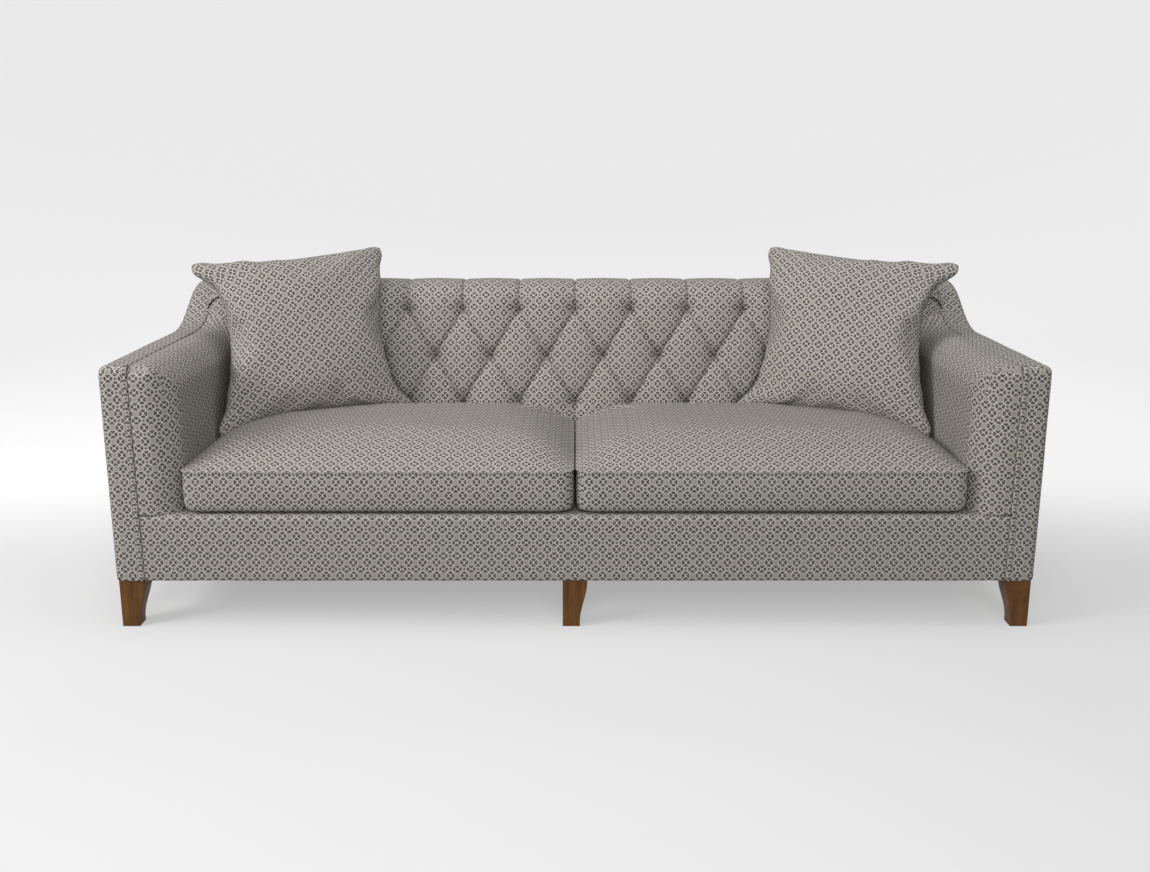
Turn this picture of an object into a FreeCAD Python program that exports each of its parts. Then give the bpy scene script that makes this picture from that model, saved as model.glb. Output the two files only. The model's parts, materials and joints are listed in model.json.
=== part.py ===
"""Four-seater sofa with a diamond-buttoned back, two seat cushions and two scatter cushions.

Millimetres. +X runs to the right seen from the front, +Y to the back, +Z up.
The origin is on the floor, under the middle of the sofa's length and depth.
"""
import FreeCAD, Part
import math
import os
import re
import Sketcher

doc = FreeCAD.newDocument("Sofa")
sheet = doc.addObject("Spreadsheet::Sheet", "Sizes")

# Driving dimensions in millimetres, degrees and counts
SIZES = {
    "overall_width": 2300,
    "overall_depth": 940,
    "arm_height": 667,
    "leg_height": 123,
    "base_height": 171,
    "dust_cover_thickness": 2,
    "facing_width": 68,
    "arm_pad_width": 106,
    "arm_pad_edge_radius": 26,
    "arm_pad_corner_radius": 32,
    "cover_thickness": 10,
    "arm_corner_radius": 15,
    "arm_edge_radius": 18,
    "sweep_rise": 113,
    "back_top_depth": 61,
    "sweep_low_radius": 260,
    "sweep_high_radius": 228,
    "sweep_angle": 32.6,
    "welt_width": 8,
    "welt_stand": 2,
    "welt_groove_width": 1.6,
    "plywood_thickness": 12,
    "arm_post_depth": 45,
    "arm_bottom_rail_height": 45,
    "arm_top_rail_height": 40,
    "rail_thickness": 25,
    "centre_rail_width": 90,
    "corner_block_leg": 70,
    "corner_block_height": 80,
    "strap_width": 60,
    "strap_thickness": 2,
    "centre_bay_straps": 8,
    "side_bay_straps": 4,
    "long_strap_count": 4,
    "deck_pad_thickness": 8,
    "border_thickness": 12,
    "border_lip_depth": 70,
    "border_edge_radius": 10,
    "back_foot": 617,
    "back_rake": 9.6,
    "back_backing": 55,
    "back_top_padding": 23,
    "upright_thickness": 18,
    "back_rail_thickness": 22,
    "back_lower_rail_height": 60,
    "back_strap_count": 10,
    "back_lip_depth": 55,
    "tuft_pitch": 164,
    "tuft_top_drop": 69,
    "tuft_row_height": 133,
    "tuft_depth": 28,
    "tuft_pleat_rise": 10,
    "back_end_roll": 40,
    "back_crest_rise": 12,
    "pleat_crest_drop": 4,
    "arm_join_depth": 648,
    "arm_join_slant": 57,
    "button_radius": 10,
    "button_thickness": 4,
    "button_dome": 4,
    "button_shank_radius": 1.5,
    "button_taper": 8,
    "top_button_stand": 8.3,
    "middle_button_stand": 4,
    "low_button_stand": 1,
    "leg_inset": 8,
    "leg_front_inset": 6,
    "leg_top_width": 62,
    "leg_foot_width": 43,
    "leg_top_depth": 65,
    "leg_foot_depth": 43,
    "leg_curve_height": 80,
    "leg_curve_foot": 18,
    "leg_bolt_radius": 4,
    "leg_bolt_depth": 30,
    "leg_bolt_setback": 46,
    "tnut_barrel_radius": 5.5,
    "tnut_barrel_height": 12,
    "tnut_flange_radius": 12,
    "tnut_flange_thickness": 1.5,
    "glide_radius": 11,
    "glide_thickness": 3,
    "glide_stand": 1,
    "arm_bolt_radius": 4,
    "arm_bolt_head_radius": 9,
    "arm_bolt_head_thickness": 5,
    "arm_bolt_setback": 130,
    "arm_bolt_height": 220,
    "soft_clearance": 0.4,
    "seat_gap": 1,
    "seat_front_inset": 2,
    "seat_side_clearance": 0.6,
    "seat_rear_clearance": 10.6,
    "seat_edge_height": 110,
    "seat_crown": 54,
    "seat_crown_run": 220,
    "seat_corner_radius": 42,
    "seat_edge_bulge": 7,
    "seat_draw_in": 4,
    "foam_wrap": 28,
    "foam_inset": 48,
    "scatter_width": 540,
    "scatter_height": 470,
    "scatter_thickness": 160,
    "scatter_draw_in": 34,
    "scatter_wall": 12,
    "scatter_side_place": 213,
    "scatter_back_place": 100,
    "scatter_foot_height": 146.4,
    "scatter_turn": 25,
    "scatter_lean": 20,
    "scatter_tilt": 3,
}

for row, (alias, number) in enumerate(SIZES.items(), start=1):
    sheet.set(f"A{row}", alias)
    sheet.set(f"B{row}", str(number))
    sheet.setAlias(f"B{row}", alias)
doc.recompute()

# Places that several pieces share, written as expressions of the sheet's names
HALF = "(overall_width / 2)"
FRONT = "(-overall_depth / 2 + welt_stand)"
REAR = "(overall_depth / 2)"
SEAM = f"({HALF} - facing_width)"
WELT_OUT = f"({SEAM} + welt_width / 2)"
WELT_IN = f"({SEAM} - welt_width / 2)"
PAD_IN = f"({SEAM} - arm_pad_width)"
PLY_OUT = f"({HALF} - cover_thickness)"
POST_OUT = f"({PLY_OUT} - plywood_thickness)"
POST_IN = f"({SEAM} + plywood_thickness)"
DECK = "(leg_height + base_height)"
RAIL_LOW = "(leg_height + dust_cover_thickness)"
LONG_STRAP_LOW = f"({DECK} - deck_pad_thickness - strap_thickness)"
RAIL_TOP = f"({LONG_STRAP_LOW} - strap_thickness)"
RAIL_FRONT = f"({FRONT} + border_thickness)"
RAIL_REAR = f"({REAR} - cover_thickness)"
LOW_RAIL_TOP = "(leg_height + arm_bottom_rail_height)"
LIP_FRONT = f"({REAR} - back_lip_depth)"
BACK = "(arm_height + sweep_rise)"
SWEEP = "(sweep_angle * 1 deg)"
SWEEP_ARCS_RISE = f"((sweep_low_radius + sweep_high_radius) * (1 - cos({SWEEP})))"
SWEEP_STRAIGHT = f"((sweep_rise - {SWEEP_ARCS_RISE}) / tan({SWEEP}))"
SWEEP_RUN = f"((sweep_low_radius + sweep_high_radius) * sin({SWEEP}) + {SWEEP_STRAIGHT})"
SWEEP_END = f"({REAR} - back_top_depth)"
SWEEP_START = f"({SWEEP_END} - {SWEEP_RUN})"
RAKE = "(back_rake * 1 deg)"
LEAN = "(scatter_lean * 1 deg)"
JOIN_IN = f"({FRONT} + arm_join_depth)"
JOIN_OUT = f"({FRONT} + arm_join_depth + arm_join_slant)"
MARGIN = 5
TOUCH = 0.01


def named(text):
    """Put the sheet's name before each of its aliases in an expression."""
    def qualify(match):
        word = match.group(0)
        return f"Sizes.{word}" if word in SIZES else word
    return re.sub(r"[a-z_]+", qualify, text)


def value(text):
    """The number that an expression of the sheet's names comes to."""
    return float(sheet.evalExpression(named(text)))


def frame_plane(height):
    """Y of the back frame's raked front at a height."""
    return f"({FRONT} + back_foot + back_backing + (({height}) - {DECK}) * tan({RAKE}))"


nodes = []


def node(piece, label):
    """Give a finished sub-part the name of its file."""
    piece.Label = label
    nodes.append(piece)
    return piece


def box(name, x_range, y_range, z_range):
    """A board between two places on each axis."""
    piece = doc.addObject("Part::Box", name)
    for size, axis, (low, high) in zip(("Length", "Width", "Height"), "xyz", (x_range, y_range, z_range)):
        piece.setExpression(size, named(f"({high}) - ({low})"))
        piece.setExpression(f"Placement.Base.{axis}", named(low))
    return piece


def cylinder(name, radius, start, length, direction=FreeCAD.Vector(0, 0, 1)):
    """A round bar that starts at a point and runs along a direction."""
    piece = doc.addObject("Part::Cylinder", name)
    piece.setExpression("Radius", named(radius))
    piece.setExpression("Height", named(length))
    piece.Placement.Rotation = FreeCAD.Rotation(FreeCAD.Vector(0, 0, 1), direction)
    for axis, place in zip("xyz", start):
        piece.setExpression(f"Placement.Base.{axis}", named(place))
    return piece


def arc_between(start, end, radius, way):
    """The shorter arc from start to end, turning ccw or cw, as a counter-clockwise curve."""
    chord = end - start
    left = FreeCAD.Vector(-chord.y, chord.x, 0).normalize()
    reach = math.sqrt(max(radius ** 2 - (chord.Length / 2) ** 2, 0))
    centre = (start + end) * 0.5 + left * (reach if way == "ccw" else -reach)
    first, last = (start, end) if way == "ccw" else (end, start)
    angles = [math.atan2(p.y - centre.y, p.x - centre.x) for p in (first, last)]
    circle = Part.Circle(centre, FreeCAD.Vector(0, 0, 1), radius)
    return Part.ArcOfCircle(circle, angles[0], angles[1] + (2 * math.pi if angles[1] < angles[0] else 0))


def sketch_outline(body, role, offset, corners):
    """Sketch a closed outline on a body's own plane.

    A corner is (u, v) before a straight edge, or (u, v, radius, way) before an arc.
    """
    sketch = body.newObject("Sketcher::SketchObject", body.Name + "Sketch")
    plane = next(feature for feature in body.Origin.OriginFeatures if feature.Role == role)
    sketch.AttachmentSupport = (plane, [""])
    sketch.MapMode = "FlatFace"
    sketch.setExpression("AttachmentOffset.Base.z", named(offset))
    points = [FreeCAD.Vector(value(corner[0]), value(corner[1]), 0) for corner in corners]
    ends = []
    for index, corner in enumerate(corners):
        start, end = points[index], points[(index + 1) % len(corners)]
        if len(corner) == 2:
            ends.append((sketch.addGeometry(Part.LineSegment(start, end), False), 1, 2))
        else:
            arc = arc_between(start, end, value(corner[2]), corner[3])
            first, last = (1, 2) if corner[3] == "ccw" else (2, 1)
            ends.append((sketch.addGeometry(arc, False), first, last))
    for index, (edge, first, last) in enumerate(ends):
        following = ends[(index + 1) % len(ends)]
        sketch.addConstraint(Sketcher.Constraint("Coincident", edge, last, following[0], following[1]))
    for index, (edge, first, last) in enumerate(ends):
        for kind, place in (("DistanceX", 0), ("DistanceY", 1)):
            number = sketch.addConstraint(Sketcher.Constraint(kind, -1, 1, edge, first, points[index][place]))
            sketch.setExpression(f"Constraints[{number}]", named(corners[index][place]))
        if len(corners[index]) > 2:
            number = sketch.addConstraint(Sketcher.Constraint("Radius", edge, value(corners[index][2])))
            sketch.setExpression(f"Constraints[{number}]", named(corners[index][2]))
    return sketch


def pad(body, role, corners, low, high):
    """Pad an outline of a body between two places along its plane's axis."""
    start = f"-({high})" if role == "XZ_Plane" else low
    feature = body.newObject("PartDesign::Pad", body.Name + "Pad")
    feature.Profile = sketch_outline(body, role, start, corners)
    feature.setExpression("Length", named(f"({high}) - ({low})"))
    return feature


def prism(name, role, corners, low, high):
    """A body that is one padded outline."""
    body = doc.addObject("PartDesign::Body", name)
    pad(body, role, corners, low, high)
    return body


def round_face_edges(body, base, radius, side, floor):
    """Fillet the edges of a feature that lie on an upright side face, apart from its lowest edge."""
    doc.recompute()
    names = []
    for number, edge in enumerate(base.Shape.Edges, start=1):
        points = [vertex.Point for vertex in edge.Vertexes]
        on_side = all(abs(point.x - side) < TOUCH for point in points)
        if on_side and max(point.z for point in points) > floor + TOUCH:
            names.append(f"Edge{number}")
    fillet = body.newObject("PartDesign::Fillet", body.Name + "Fillet")
    fillet.Base = (base, names)
    fillet.setExpression("Radius", named(radius))
    return fillet


def pocket(body, role, corners, start, depth):
    """Cut an outline into a body, from a plane at start and against the plane's axis."""
    feature = body.newObject("PartDesign::Pocket", body.Name + "Pocket")
    feature.Profile = sketch_outline(body, role, start, corners)
    feature.setExpression("Length", named(depth))
    return feature


def mirrored(source, normal=FreeCAD.Vector(1, 0, 0)):
    """The same piece on the other side of the middle."""
    piece = doc.addObject("Part::Mirroring", source.Name + "Mirror")
    piece.Source = source
    piece.Normal = normal
    return piece


def pair(source, label):
    """Keep a left piece and its right-hand twin as two nodes."""
    node(source, f"{label}_left")
    node(mirrored(source), f"{label}_right")


def group(name, pieces):
    """Separate pieces that share one node."""
    compound = doc.addObject("Part::Compound", name)
    compound.Links = pieces
    return compound


def cut(name, base, tool):
    piece = doc.addObject("Part::Cut", name)
    piece.Base = base
    piece.Tool = tool
    return piece


def soft(name, shape, placement=FreeCAD.Placement()):
    """A padded form worked out by a formula from the sheet's sizes."""
    piece = doc.addObject("Part::Feature", name)
    piece.Shape = shape
    piece.Placement = placement
    return piece


def sew(faces):
    """Close touching faces into one solid that faces outwards."""
    shell = Part.Shell(faces)
    shell.sewShape()
    solid = Part.Solid(shell)
    if solid.Volume < 0:
        solid.reverse()
    return solid


# Arms

def arm_outline(inset, low, corner_radius=None):
    """Side view of an arm: upright front, level top, sweep up to the back and upright rear."""
    top = f"(arm_height - {inset})"
    peak = f"({BACK} - {inset})"
    front = f"({FRONT} + {inset})"
    rear = f"({REAR} - {inset})"
    low_radius = f"(sweep_low_radius + {inset})"
    high_radius = f"(sweep_high_radius - {inset})"
    rise_foot = (f"{SWEEP_START} + {low_radius} * sin({SWEEP})",
                 f"arm_height + sweep_low_radius - {low_radius} * cos({SWEEP})")
    rise_head = (f"{SWEEP_END} - {high_radius} * sin({SWEEP})",
                 f"{BACK} - sweep_high_radius + {high_radius} * cos({SWEEP})",
                 high_radius, "cw")
    start = [(front, low), (front, top)]
    end = [(rear, peak), (rear, low)]
    if corner_radius:
        start = [(front, low),
                 (front, f"{top} - {corner_radius}", corner_radius, "cw"),
                 (f"{front} + {corner_radius}", top)]
        end = [(f"{rear} - {corner_radius}", peak, corner_radius, "cw"),
               (rear, f"{peak} - {corner_radius}"),
               (rear, low)]
    return start + [(SWEEP_START, top, low_radius, "ccw"), rise_foot, rise_head, (SWEEP_END, peak)] + end


def arm_cover():
    """Padded outer cover of the left arm, open to the frame inside it and underneath."""
    body = doc.addObject("PartDesign::Body", "ArmCover")
    shell = pad(body, "YZ_Plane", arm_outline("0", "leg_height", "arm_corner_radius"),
                f"-{HALF}", f"-{WELT_OUT}")
    round_face_edges(body, shell, "arm_edge_radius", -value(HALF), value("leg_height"))
    pocket(body, "YZ_Plane", arm_outline("cover_thickness", "leg_height"),
           f"-{WELT_OUT}", f"{PLY_OUT} - {WELT_OUT}")
    return body


def arm_welt():
    """Double welt: two raised rolls with a groove between, along front, top and sweep."""
    def band(stand):
        outer = arm_outline(f"(-{stand})", "leg_height")[:6]
        inner = arm_outline("cover_thickness", "leg_height")[:6]
        outer[-1] = (SWEEP_END, f"{BACK} + {stand}")
        back = [(f"{LIP_FRONT}", f"{BACK} + {stand}"), (f"{LIP_FRONT}", f"{BACK} - cover_thickness")]
        path = [(SWEEP_END, f"{BACK} - cover_thickness",
                 "(sweep_high_radius - cover_thickness)", "ccw"),
                inner[4][:2],
                inner[3][:2] + ("(sweep_low_radius + cover_thickness)", "cw"),
                inner[2][:2], inner[1][:2], inner[0][:2]]
        return outer + back + path

    body = doc.addObject("PartDesign::Body", "ArmWelt")
    groove = "welt_groove_width / 2"
    pad(body, "YZ_Plane", band("welt_stand"), f"-{WELT_OUT}", f"-{SEAM} - {groove}")
    pad(body, "YZ_Plane", band("0"), f"-{SEAM} - {groove}", f"-{SEAM} + {groove}")
    pad(body, "YZ_Plane", band("welt_stand"), f"-{SEAM} + {groove}", f"-{WELT_IN}")
    return body


def arm_pad():
    """Inner padding of the left arm, which stands on the deck and ends on a slant before the back pad."""
    body = doc.addObject("PartDesign::Body", "ArmPad")
    outline = arm_outline("0", DECK, "arm_pad_corner_radius")
    block = pad(body, "YZ_Plane", outline, f"-{WELT_IN}", f"-{PAD_IN}")
    round_face_edges(body, block, "arm_pad_edge_radius", -value(PAD_IN), value(DECK))
    pad(body, "YZ_Plane", arm_outline("cover_thickness", DECK), f"-{SEAM}", f"-{WELT_IN}")
    behind = [(f"-{SEAM} - {MARGIN}", JOIN_OUT), (f"-{SEAM} - {MARGIN}", f"{REAR} + {MARGIN}"),
              (f"-{PAD_IN} + {MARGIN}", f"{REAR} + {MARGIN}"), (f"-{PAD_IN} + {MARGIN}", JOIN_IN),
              (f"-{PAD_IN}", JOIN_IN), (f"-{SEAM}", JOIN_OUT)]
    pocket(body, "XY_Plane", behind, f"{BACK} + {MARGIN}", f"{BACK} - {DECK} + 2 * {MARGIN}")
    frame_room = [(f"{frame_plane(DECK)} - soft_clearance", DECK),
                  (f"{frame_plane(BACK)} - soft_clearance", BACK),
                  (f"{REAR} + {MARGIN}", BACK), (f"{REAR} + {MARGIN}", DECK)]
    pocket(body, "YZ_Plane", frame_room, f"-{PAD_IN} + {MARGIN}", f"arm_pad_width + 2 * {MARGIN}")
    return body


ARM_FRONT = f"({FRONT} + cover_thickness)"
ARM_TOP = "(arm_height - cover_thickness)"
POST_X = (f"-{POST_OUT}", f"-{POST_IN}")
TOP_RAIL_LOW = f"({ARM_TOP} - arm_top_rail_height)"
END_RAIL_IN = f"({SEAM} - rail_thickness)"


def arm_bolts():
    """Bolts from inside the base through an end rail into the left arm, as shanks and whole bolts."""
    shanks, bolts = [], []
    for number, place in enumerate((f"{FRONT} + arm_bolt_setback", "0", f"{REAR} - arm_bolt_setback")):
        along = FreeCAD.Vector(1, 0, 0)
        shank = cylinder(f"ArmBoltShank{number}", "arm_bolt_radius",
                         (f"-{POST_IN}", place, "arm_bolt_height"), f"{POST_IN} - {END_RAIL_IN}", along)
        head = cylinder(f"ArmBoltHead{number}", "arm_bolt_head_radius",
                        (f"-{END_RAIL_IN}", place, "arm_bolt_height"), "arm_bolt_head_thickness", along)
        bolt = doc.addObject("Part::Fuse", f"ArmBolt{number}")
        bolt.Base = shank
        bolt.Tool = head
        shanks.append(shank)
        bolts.append(bolt)
    return shanks, bolts


def legs():
    """Six legs with their hanger bolts, T-nuts and glides; returns what the rails above are drilled for."""
    drills = {}
    glides, bolts, nuts = [], [], []
    half_leg = "leg_top_width / 2"
    rows = (("front", f"{FRONT} + leg_front_inset", 1), ("back", f"{REAR} - leg_front_inset", -1))
    columns = (("left", f"-{HALF} + leg_inset", 1), ("centre", f"-{half_leg}", 1),
               ("right", f"{HALF} - leg_inset", -1))
    for row, y_face, y_way in rows:
        for column, x_face, x_way in columns:
            name = f"leg_{row}_{column}"
            across = curved_leg_side(name + "_across", "XZ_Plane", x_face, x_way, "leg_top_width",
                                     "leg_foot_width", y_face, y_way, "leg_top_depth")
            along = curved_leg_side(name + "_along", "YZ_Plane", y_face, y_way, "leg_top_depth",
                                    "leg_foot_depth", x_face, x_way, "leg_top_width")
            blank = doc.addObject("Part::Common", name + "_blank")
            blank.Base = across
            blank.Tool = along
            bolt_place = (f"{x_face} + {x_way} * leg_top_width / 2", f"{y_face} + {y_way} * leg_bolt_setback")
            bolt = cylinder(name + "_bolt", "leg_bolt_radius", bolt_place + ("leg_height - leg_bolt_depth",),
                            f"leg_bolt_depth + {LOW_RAIL_TOP} - leg_height")
            flange_low = f"{LOW_RAIL_TOP} - tnut_flange_thickness"
            flange = cylinder(name + "_flange", "tnut_flange_radius", bolt_place + (flange_low,),
                              "tnut_flange_thickness")
            barrel = cylinder(name + "_barrel", "tnut_barrel_radius",
                              bolt_place + (f"{flange_low} - tnut_barrel_height",), "tnut_barrel_height")
            nut = doc.addObject("Part::Fuse", name + "_nut")
            nut.Base = barrel
            nut.Tool = flange
            foot_place = (f"{x_face} + {x_way} * leg_foot_width / 2",
                          f"{y_face} + {y_way} * leg_foot_depth / 2")
            glide = cylinder(name + "_glide", "glide_radius", foot_place + ("0",), "glide_thickness")
            node(cut(name + "_drilled", blank, group(name + "_holes", [bolt, glide])), name)
            bolts.append(bolt)
            glides.append(glide)
            nuts.append(cut(name + "_threaded", nut, bolt))
            drills[row, column] = [bolt, barrel, flange]
    node(group("Glides", glides), "leg_glides")
    node(group("LegBolts", bolts), "leg_bolts")
    node(group("LegNuts", nuts), "leg_tnuts")
    return drills


def curved_leg_side(name, role, face, way, top, foot, cross_face, cross_way, cross):
    """One view of a leg: a plain upright face, and a face that narrows to the foot in an S of two arcs."""
    low = "(glide_stand + leg_curve_foot)"
    high = f"({low} + leg_curve_height)"
    shift = f"(({top}) - ({foot}))"
    radius = f"(({shift}) ^ 2 + leg_curve_height ^ 2) / (4 * {shift})"
    turns = ("cw", "ccw") if way > 0 else ("ccw", "cw")
    corners = [(face, "glide_stand"), (face, "leg_height"), (f"{face} + {way} * {top}", "leg_height"),
               (f"{face} + {way} * {top}", high, radius, turns[0]),
               (f"{face} + {way} * ({top} + {foot}) / 2", f"({low} + {high}) / 2", radius, turns[1]),
               (f"{face} + {way} * {foot}", low), (f"{face} + {way} * {foot}", "glide_stand")]
    far = f"{cross_face} + {cross_way} * {cross}"
    ends = (cross_face, far) if cross_way > 0 else (far, cross_face)
    return prism(name, role, corners, *ends)


def arms(drills):
    """Both arms: frame of two plywood sides with posts and rails between, cover, welt and inner pad."""
    inside = arm_outline("cover_thickness", "leg_height")
    shanks, bolts = arm_bolts()
    pair(arm_cover(), "arm_cover")
    pair(arm_welt(), "arm_welt")
    pair(arm_pad(), "arm_pad")
    pair(prism("OuterSide", "YZ_Plane", inside, f"-{PLY_OUT}", f"-{POST_OUT}"), "arm_outer_side")
    inner = prism("InnerSide", "YZ_Plane", inside, f"-{POST_IN}", f"-{SEAM}")
    pair(cut("InnerSideDrilled", inner, group("InnerSideHoles", shanks)), "arm_inner_side")
    bottom = box("ArmBottomRail", POST_X, (ARM_FRONT, RAIL_REAR), ("leg_height", LOW_RAIL_TOP))
    holes = group("ArmBottomHoles", drills["front", "left"] + drills["back", "left"])
    pair(cut("ArmBottomRailDrilled", bottom, holes), "arm_bottom_rail")
    front_post = (ARM_FRONT, f"{ARM_FRONT} + arm_post_depth")
    pair(box("ArmFrontPost", POST_X, front_post, (LOW_RAIL_TOP, ARM_TOP)), "arm_front_post")
    pair(box("ArmTopRail", POST_X, (front_post[1], SWEEP_START), (TOP_RAIL_LOW, ARM_TOP)), "arm_top_rail")
    pair(box("ArmMiddlePost", POST_X, (f"{SWEEP_START} - arm_post_depth", SWEEP_START),
             (LOW_RAIL_TOP, TOP_RAIL_LOW)), "arm_middle_post")
    pair(box("ArmBackPost", POST_X, (f"{RAIL_REAR} - arm_post_depth", RAIL_REAR),
             (LOW_RAIL_TOP, f"{BACK} - cover_thickness")), "arm_back_post")
    node(group("ArmBolts", bolts + [mirrored(bolt) for bolt in bolts]), "arm_bolts")
    return shanks, [inner, mirrored(inner)]


# Seat base

FRONT_RAIL_IN = f"({RAIL_FRONT} + rail_thickness)"
BACK_RAIL_IN = f"({RAIL_REAR} - rail_thickness)"
FULL_X = (f"-{SEAM}", SEAM)


def seat_base(drills, shanks):
    """Rails, corner blocks, webbing, deck pad, front border and dust cover of the seat."""
    node(box("FrontRail", FULL_X, (RAIL_FRONT, FRONT_RAIL_IN), (RAIL_LOW, RAIL_TOP)), "base_front_rail")
    node(box("BackRail", FULL_X, (BACK_RAIL_IN, RAIL_REAR), (RAIL_LOW, RAIL_TOP)), "base_back_rail")
    between = (FRONT_RAIL_IN, BACK_RAIL_IN)
    end_rail = box("EndRail", (f"-{SEAM}", f"-{END_RAIL_IN}"), between, (RAIL_LOW, LONG_STRAP_LOW))
    pair(cut("EndRailDrilled", end_rail, group("EndRailHoles", shanks)), "base_end_rail")
    cross_x = (f"-{SEAM} / 2 - rail_thickness / 2", f"-{SEAM} / 2 + rail_thickness / 2")
    cross_rail = box("CrossRail", cross_x, between, (RAIL_LOW, LONG_STRAP_LOW))
    node(group("CrossRails", [cross_rail, mirrored(cross_rail)]), "base_cross_rails")
    centre = box("CentreRail", ("-centre_rail_width / 2", "centre_rail_width / 2"), between,
                 (RAIL_LOW, LOW_RAIL_TOP))
    centre_drills = drills["front", "centre"] + drills["back", "centre"]
    node(cut("CentreRailDrilled", centre, group("CentreHoles", centre_drills)), "base_centre_rail")
    block_low = f"({RAIL_LOW} + {RAIL_TOP} - corner_block_height) / 2"
    blocks = []
    for name, rail, way in (("FrontBlock", FRONT_RAIL_IN, "+"), ("BackBlock", BACK_RAIL_IN, "-")):
        corners = [(f"-{END_RAIL_IN}", rail), (f"-{END_RAIL_IN} + corner_block_leg", rail),
                   (f"-{END_RAIL_IN}", f"{rail} {way} corner_block_leg")]
        block = prism(name, "XY_Plane", corners, block_low, f"{block_low} + corner_block_height")
        blocks += [block, mirrored(block)]
    node(group("CornerBlocks", blocks), "corner_blocks")
    node(group("CrossStraps", cross_straps()), "seat_webbing_cross")
    node(group("LongStraps", long_straps()), "seat_webbing_long")
    pad_x = (f"-{WELT_IN}", WELT_IN)
    lip_rear = f"({FRONT} + border_lip_depth)"
    deck_rear = f"({frame_plane(RAIL_TOP)} - 3 * strap_thickness)"
    node(box("DeckPad", pad_x, (lip_rear, deck_rear), (f"{DECK} - deck_pad_thickness", DECK)), "seat_deck")
    border = [(FRONT, "leg_height"), (FRONT, f"{DECK} - border_edge_radius", "border_edge_radius", "cw"),
              (f"{FRONT} + border_edge_radius", DECK), (lip_rear, DECK),
              (lip_rear, f"{DECK} - deck_pad_thickness"), (RAIL_FRONT, f"{DECK} - deck_pad_thickness"),
              (RAIL_FRONT, "leg_height")]
    node(prism("FrontBorder", "YZ_Plane", border, *pad_x), "base_front_border")
    cover = box("DustCover", FULL_X, (RAIL_FRONT, RAIL_REAR), ("leg_height", RAIL_LOW))
    node(cut("DustCoverPierced", cover, group("DustCoverHoles", centre_drills)), "dust_cover")


def cross_straps():
    """Front to back webbing, spread evenly in the bays between the base's rails."""
    rail_near, rail_far = f"({SEAM} / 2 - rail_thickness / 2)", f"({SEAM} / 2 + rail_thickness / 2)"
    bays = ((f"-{END_RAIL_IN}", f"-{rail_far}", "side_bay_straps"),
            (f"-{rail_near}", rail_near, "centre_bay_straps"),
            (rail_far, END_RAIL_IN, "side_bay_straps"))
    straps = []
    for low, high, count in bays:
        for number in range(int(value(count))):
            middle = f"({low} + (({high}) - ({low})) * ({number} + 0.5) / {count})"
            straps.append(box(f"CrossStrap{len(straps)}",
                              (f"{middle} - strap_width / 2", f"{middle} + strap_width / 2"),
                              (RAIL_FRONT, RAIL_REAR), (RAIL_TOP, LONG_STRAP_LOW)))
    return straps


def long_straps():
    """Side to side webbing that lies on the front to back webbing."""
    straps = []
    for number in range(int(value("long_strap_count"))):
        reach = f"({FRONT} + back_foot - {FRONT_RAIL_IN})"
        middle = f"({FRONT_RAIL_IN} + {reach} * ({number} + 0.5) / long_strap_count)"
        straps.append(box(f"LongStrap{number}", (f"-{WELT_IN}", WELT_IN),
                          (f"{middle} - strap_width / 2", f"{middle} + strap_width / 2"),
                          (LONG_STRAP_LOW, f"{LONG_STRAP_LOW} + strap_thickness")))
    return straps


# Back

FRAME_TOP = f"({BACK} - back_top_padding - back_rail_thickness)"
TOP_RAIL_TOP = f"({BACK} - back_top_padding)"
LOWER_RAIL_TOP = f"({LONG_STRAP_LOW} + back_lower_rail_height)"


def raked_board(name, low, high, depth, x_range):
    """A board across the back whose front and rear faces follow the back's rake."""
    corners = [(frame_plane(low), low), (frame_plane(high), high),
               (f"{frame_plane(high)} + {depth}", high), (f"{frame_plane(low)} + {depth}", low)]
    return prism(name, "YZ_Plane", corners, *x_range)


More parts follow.
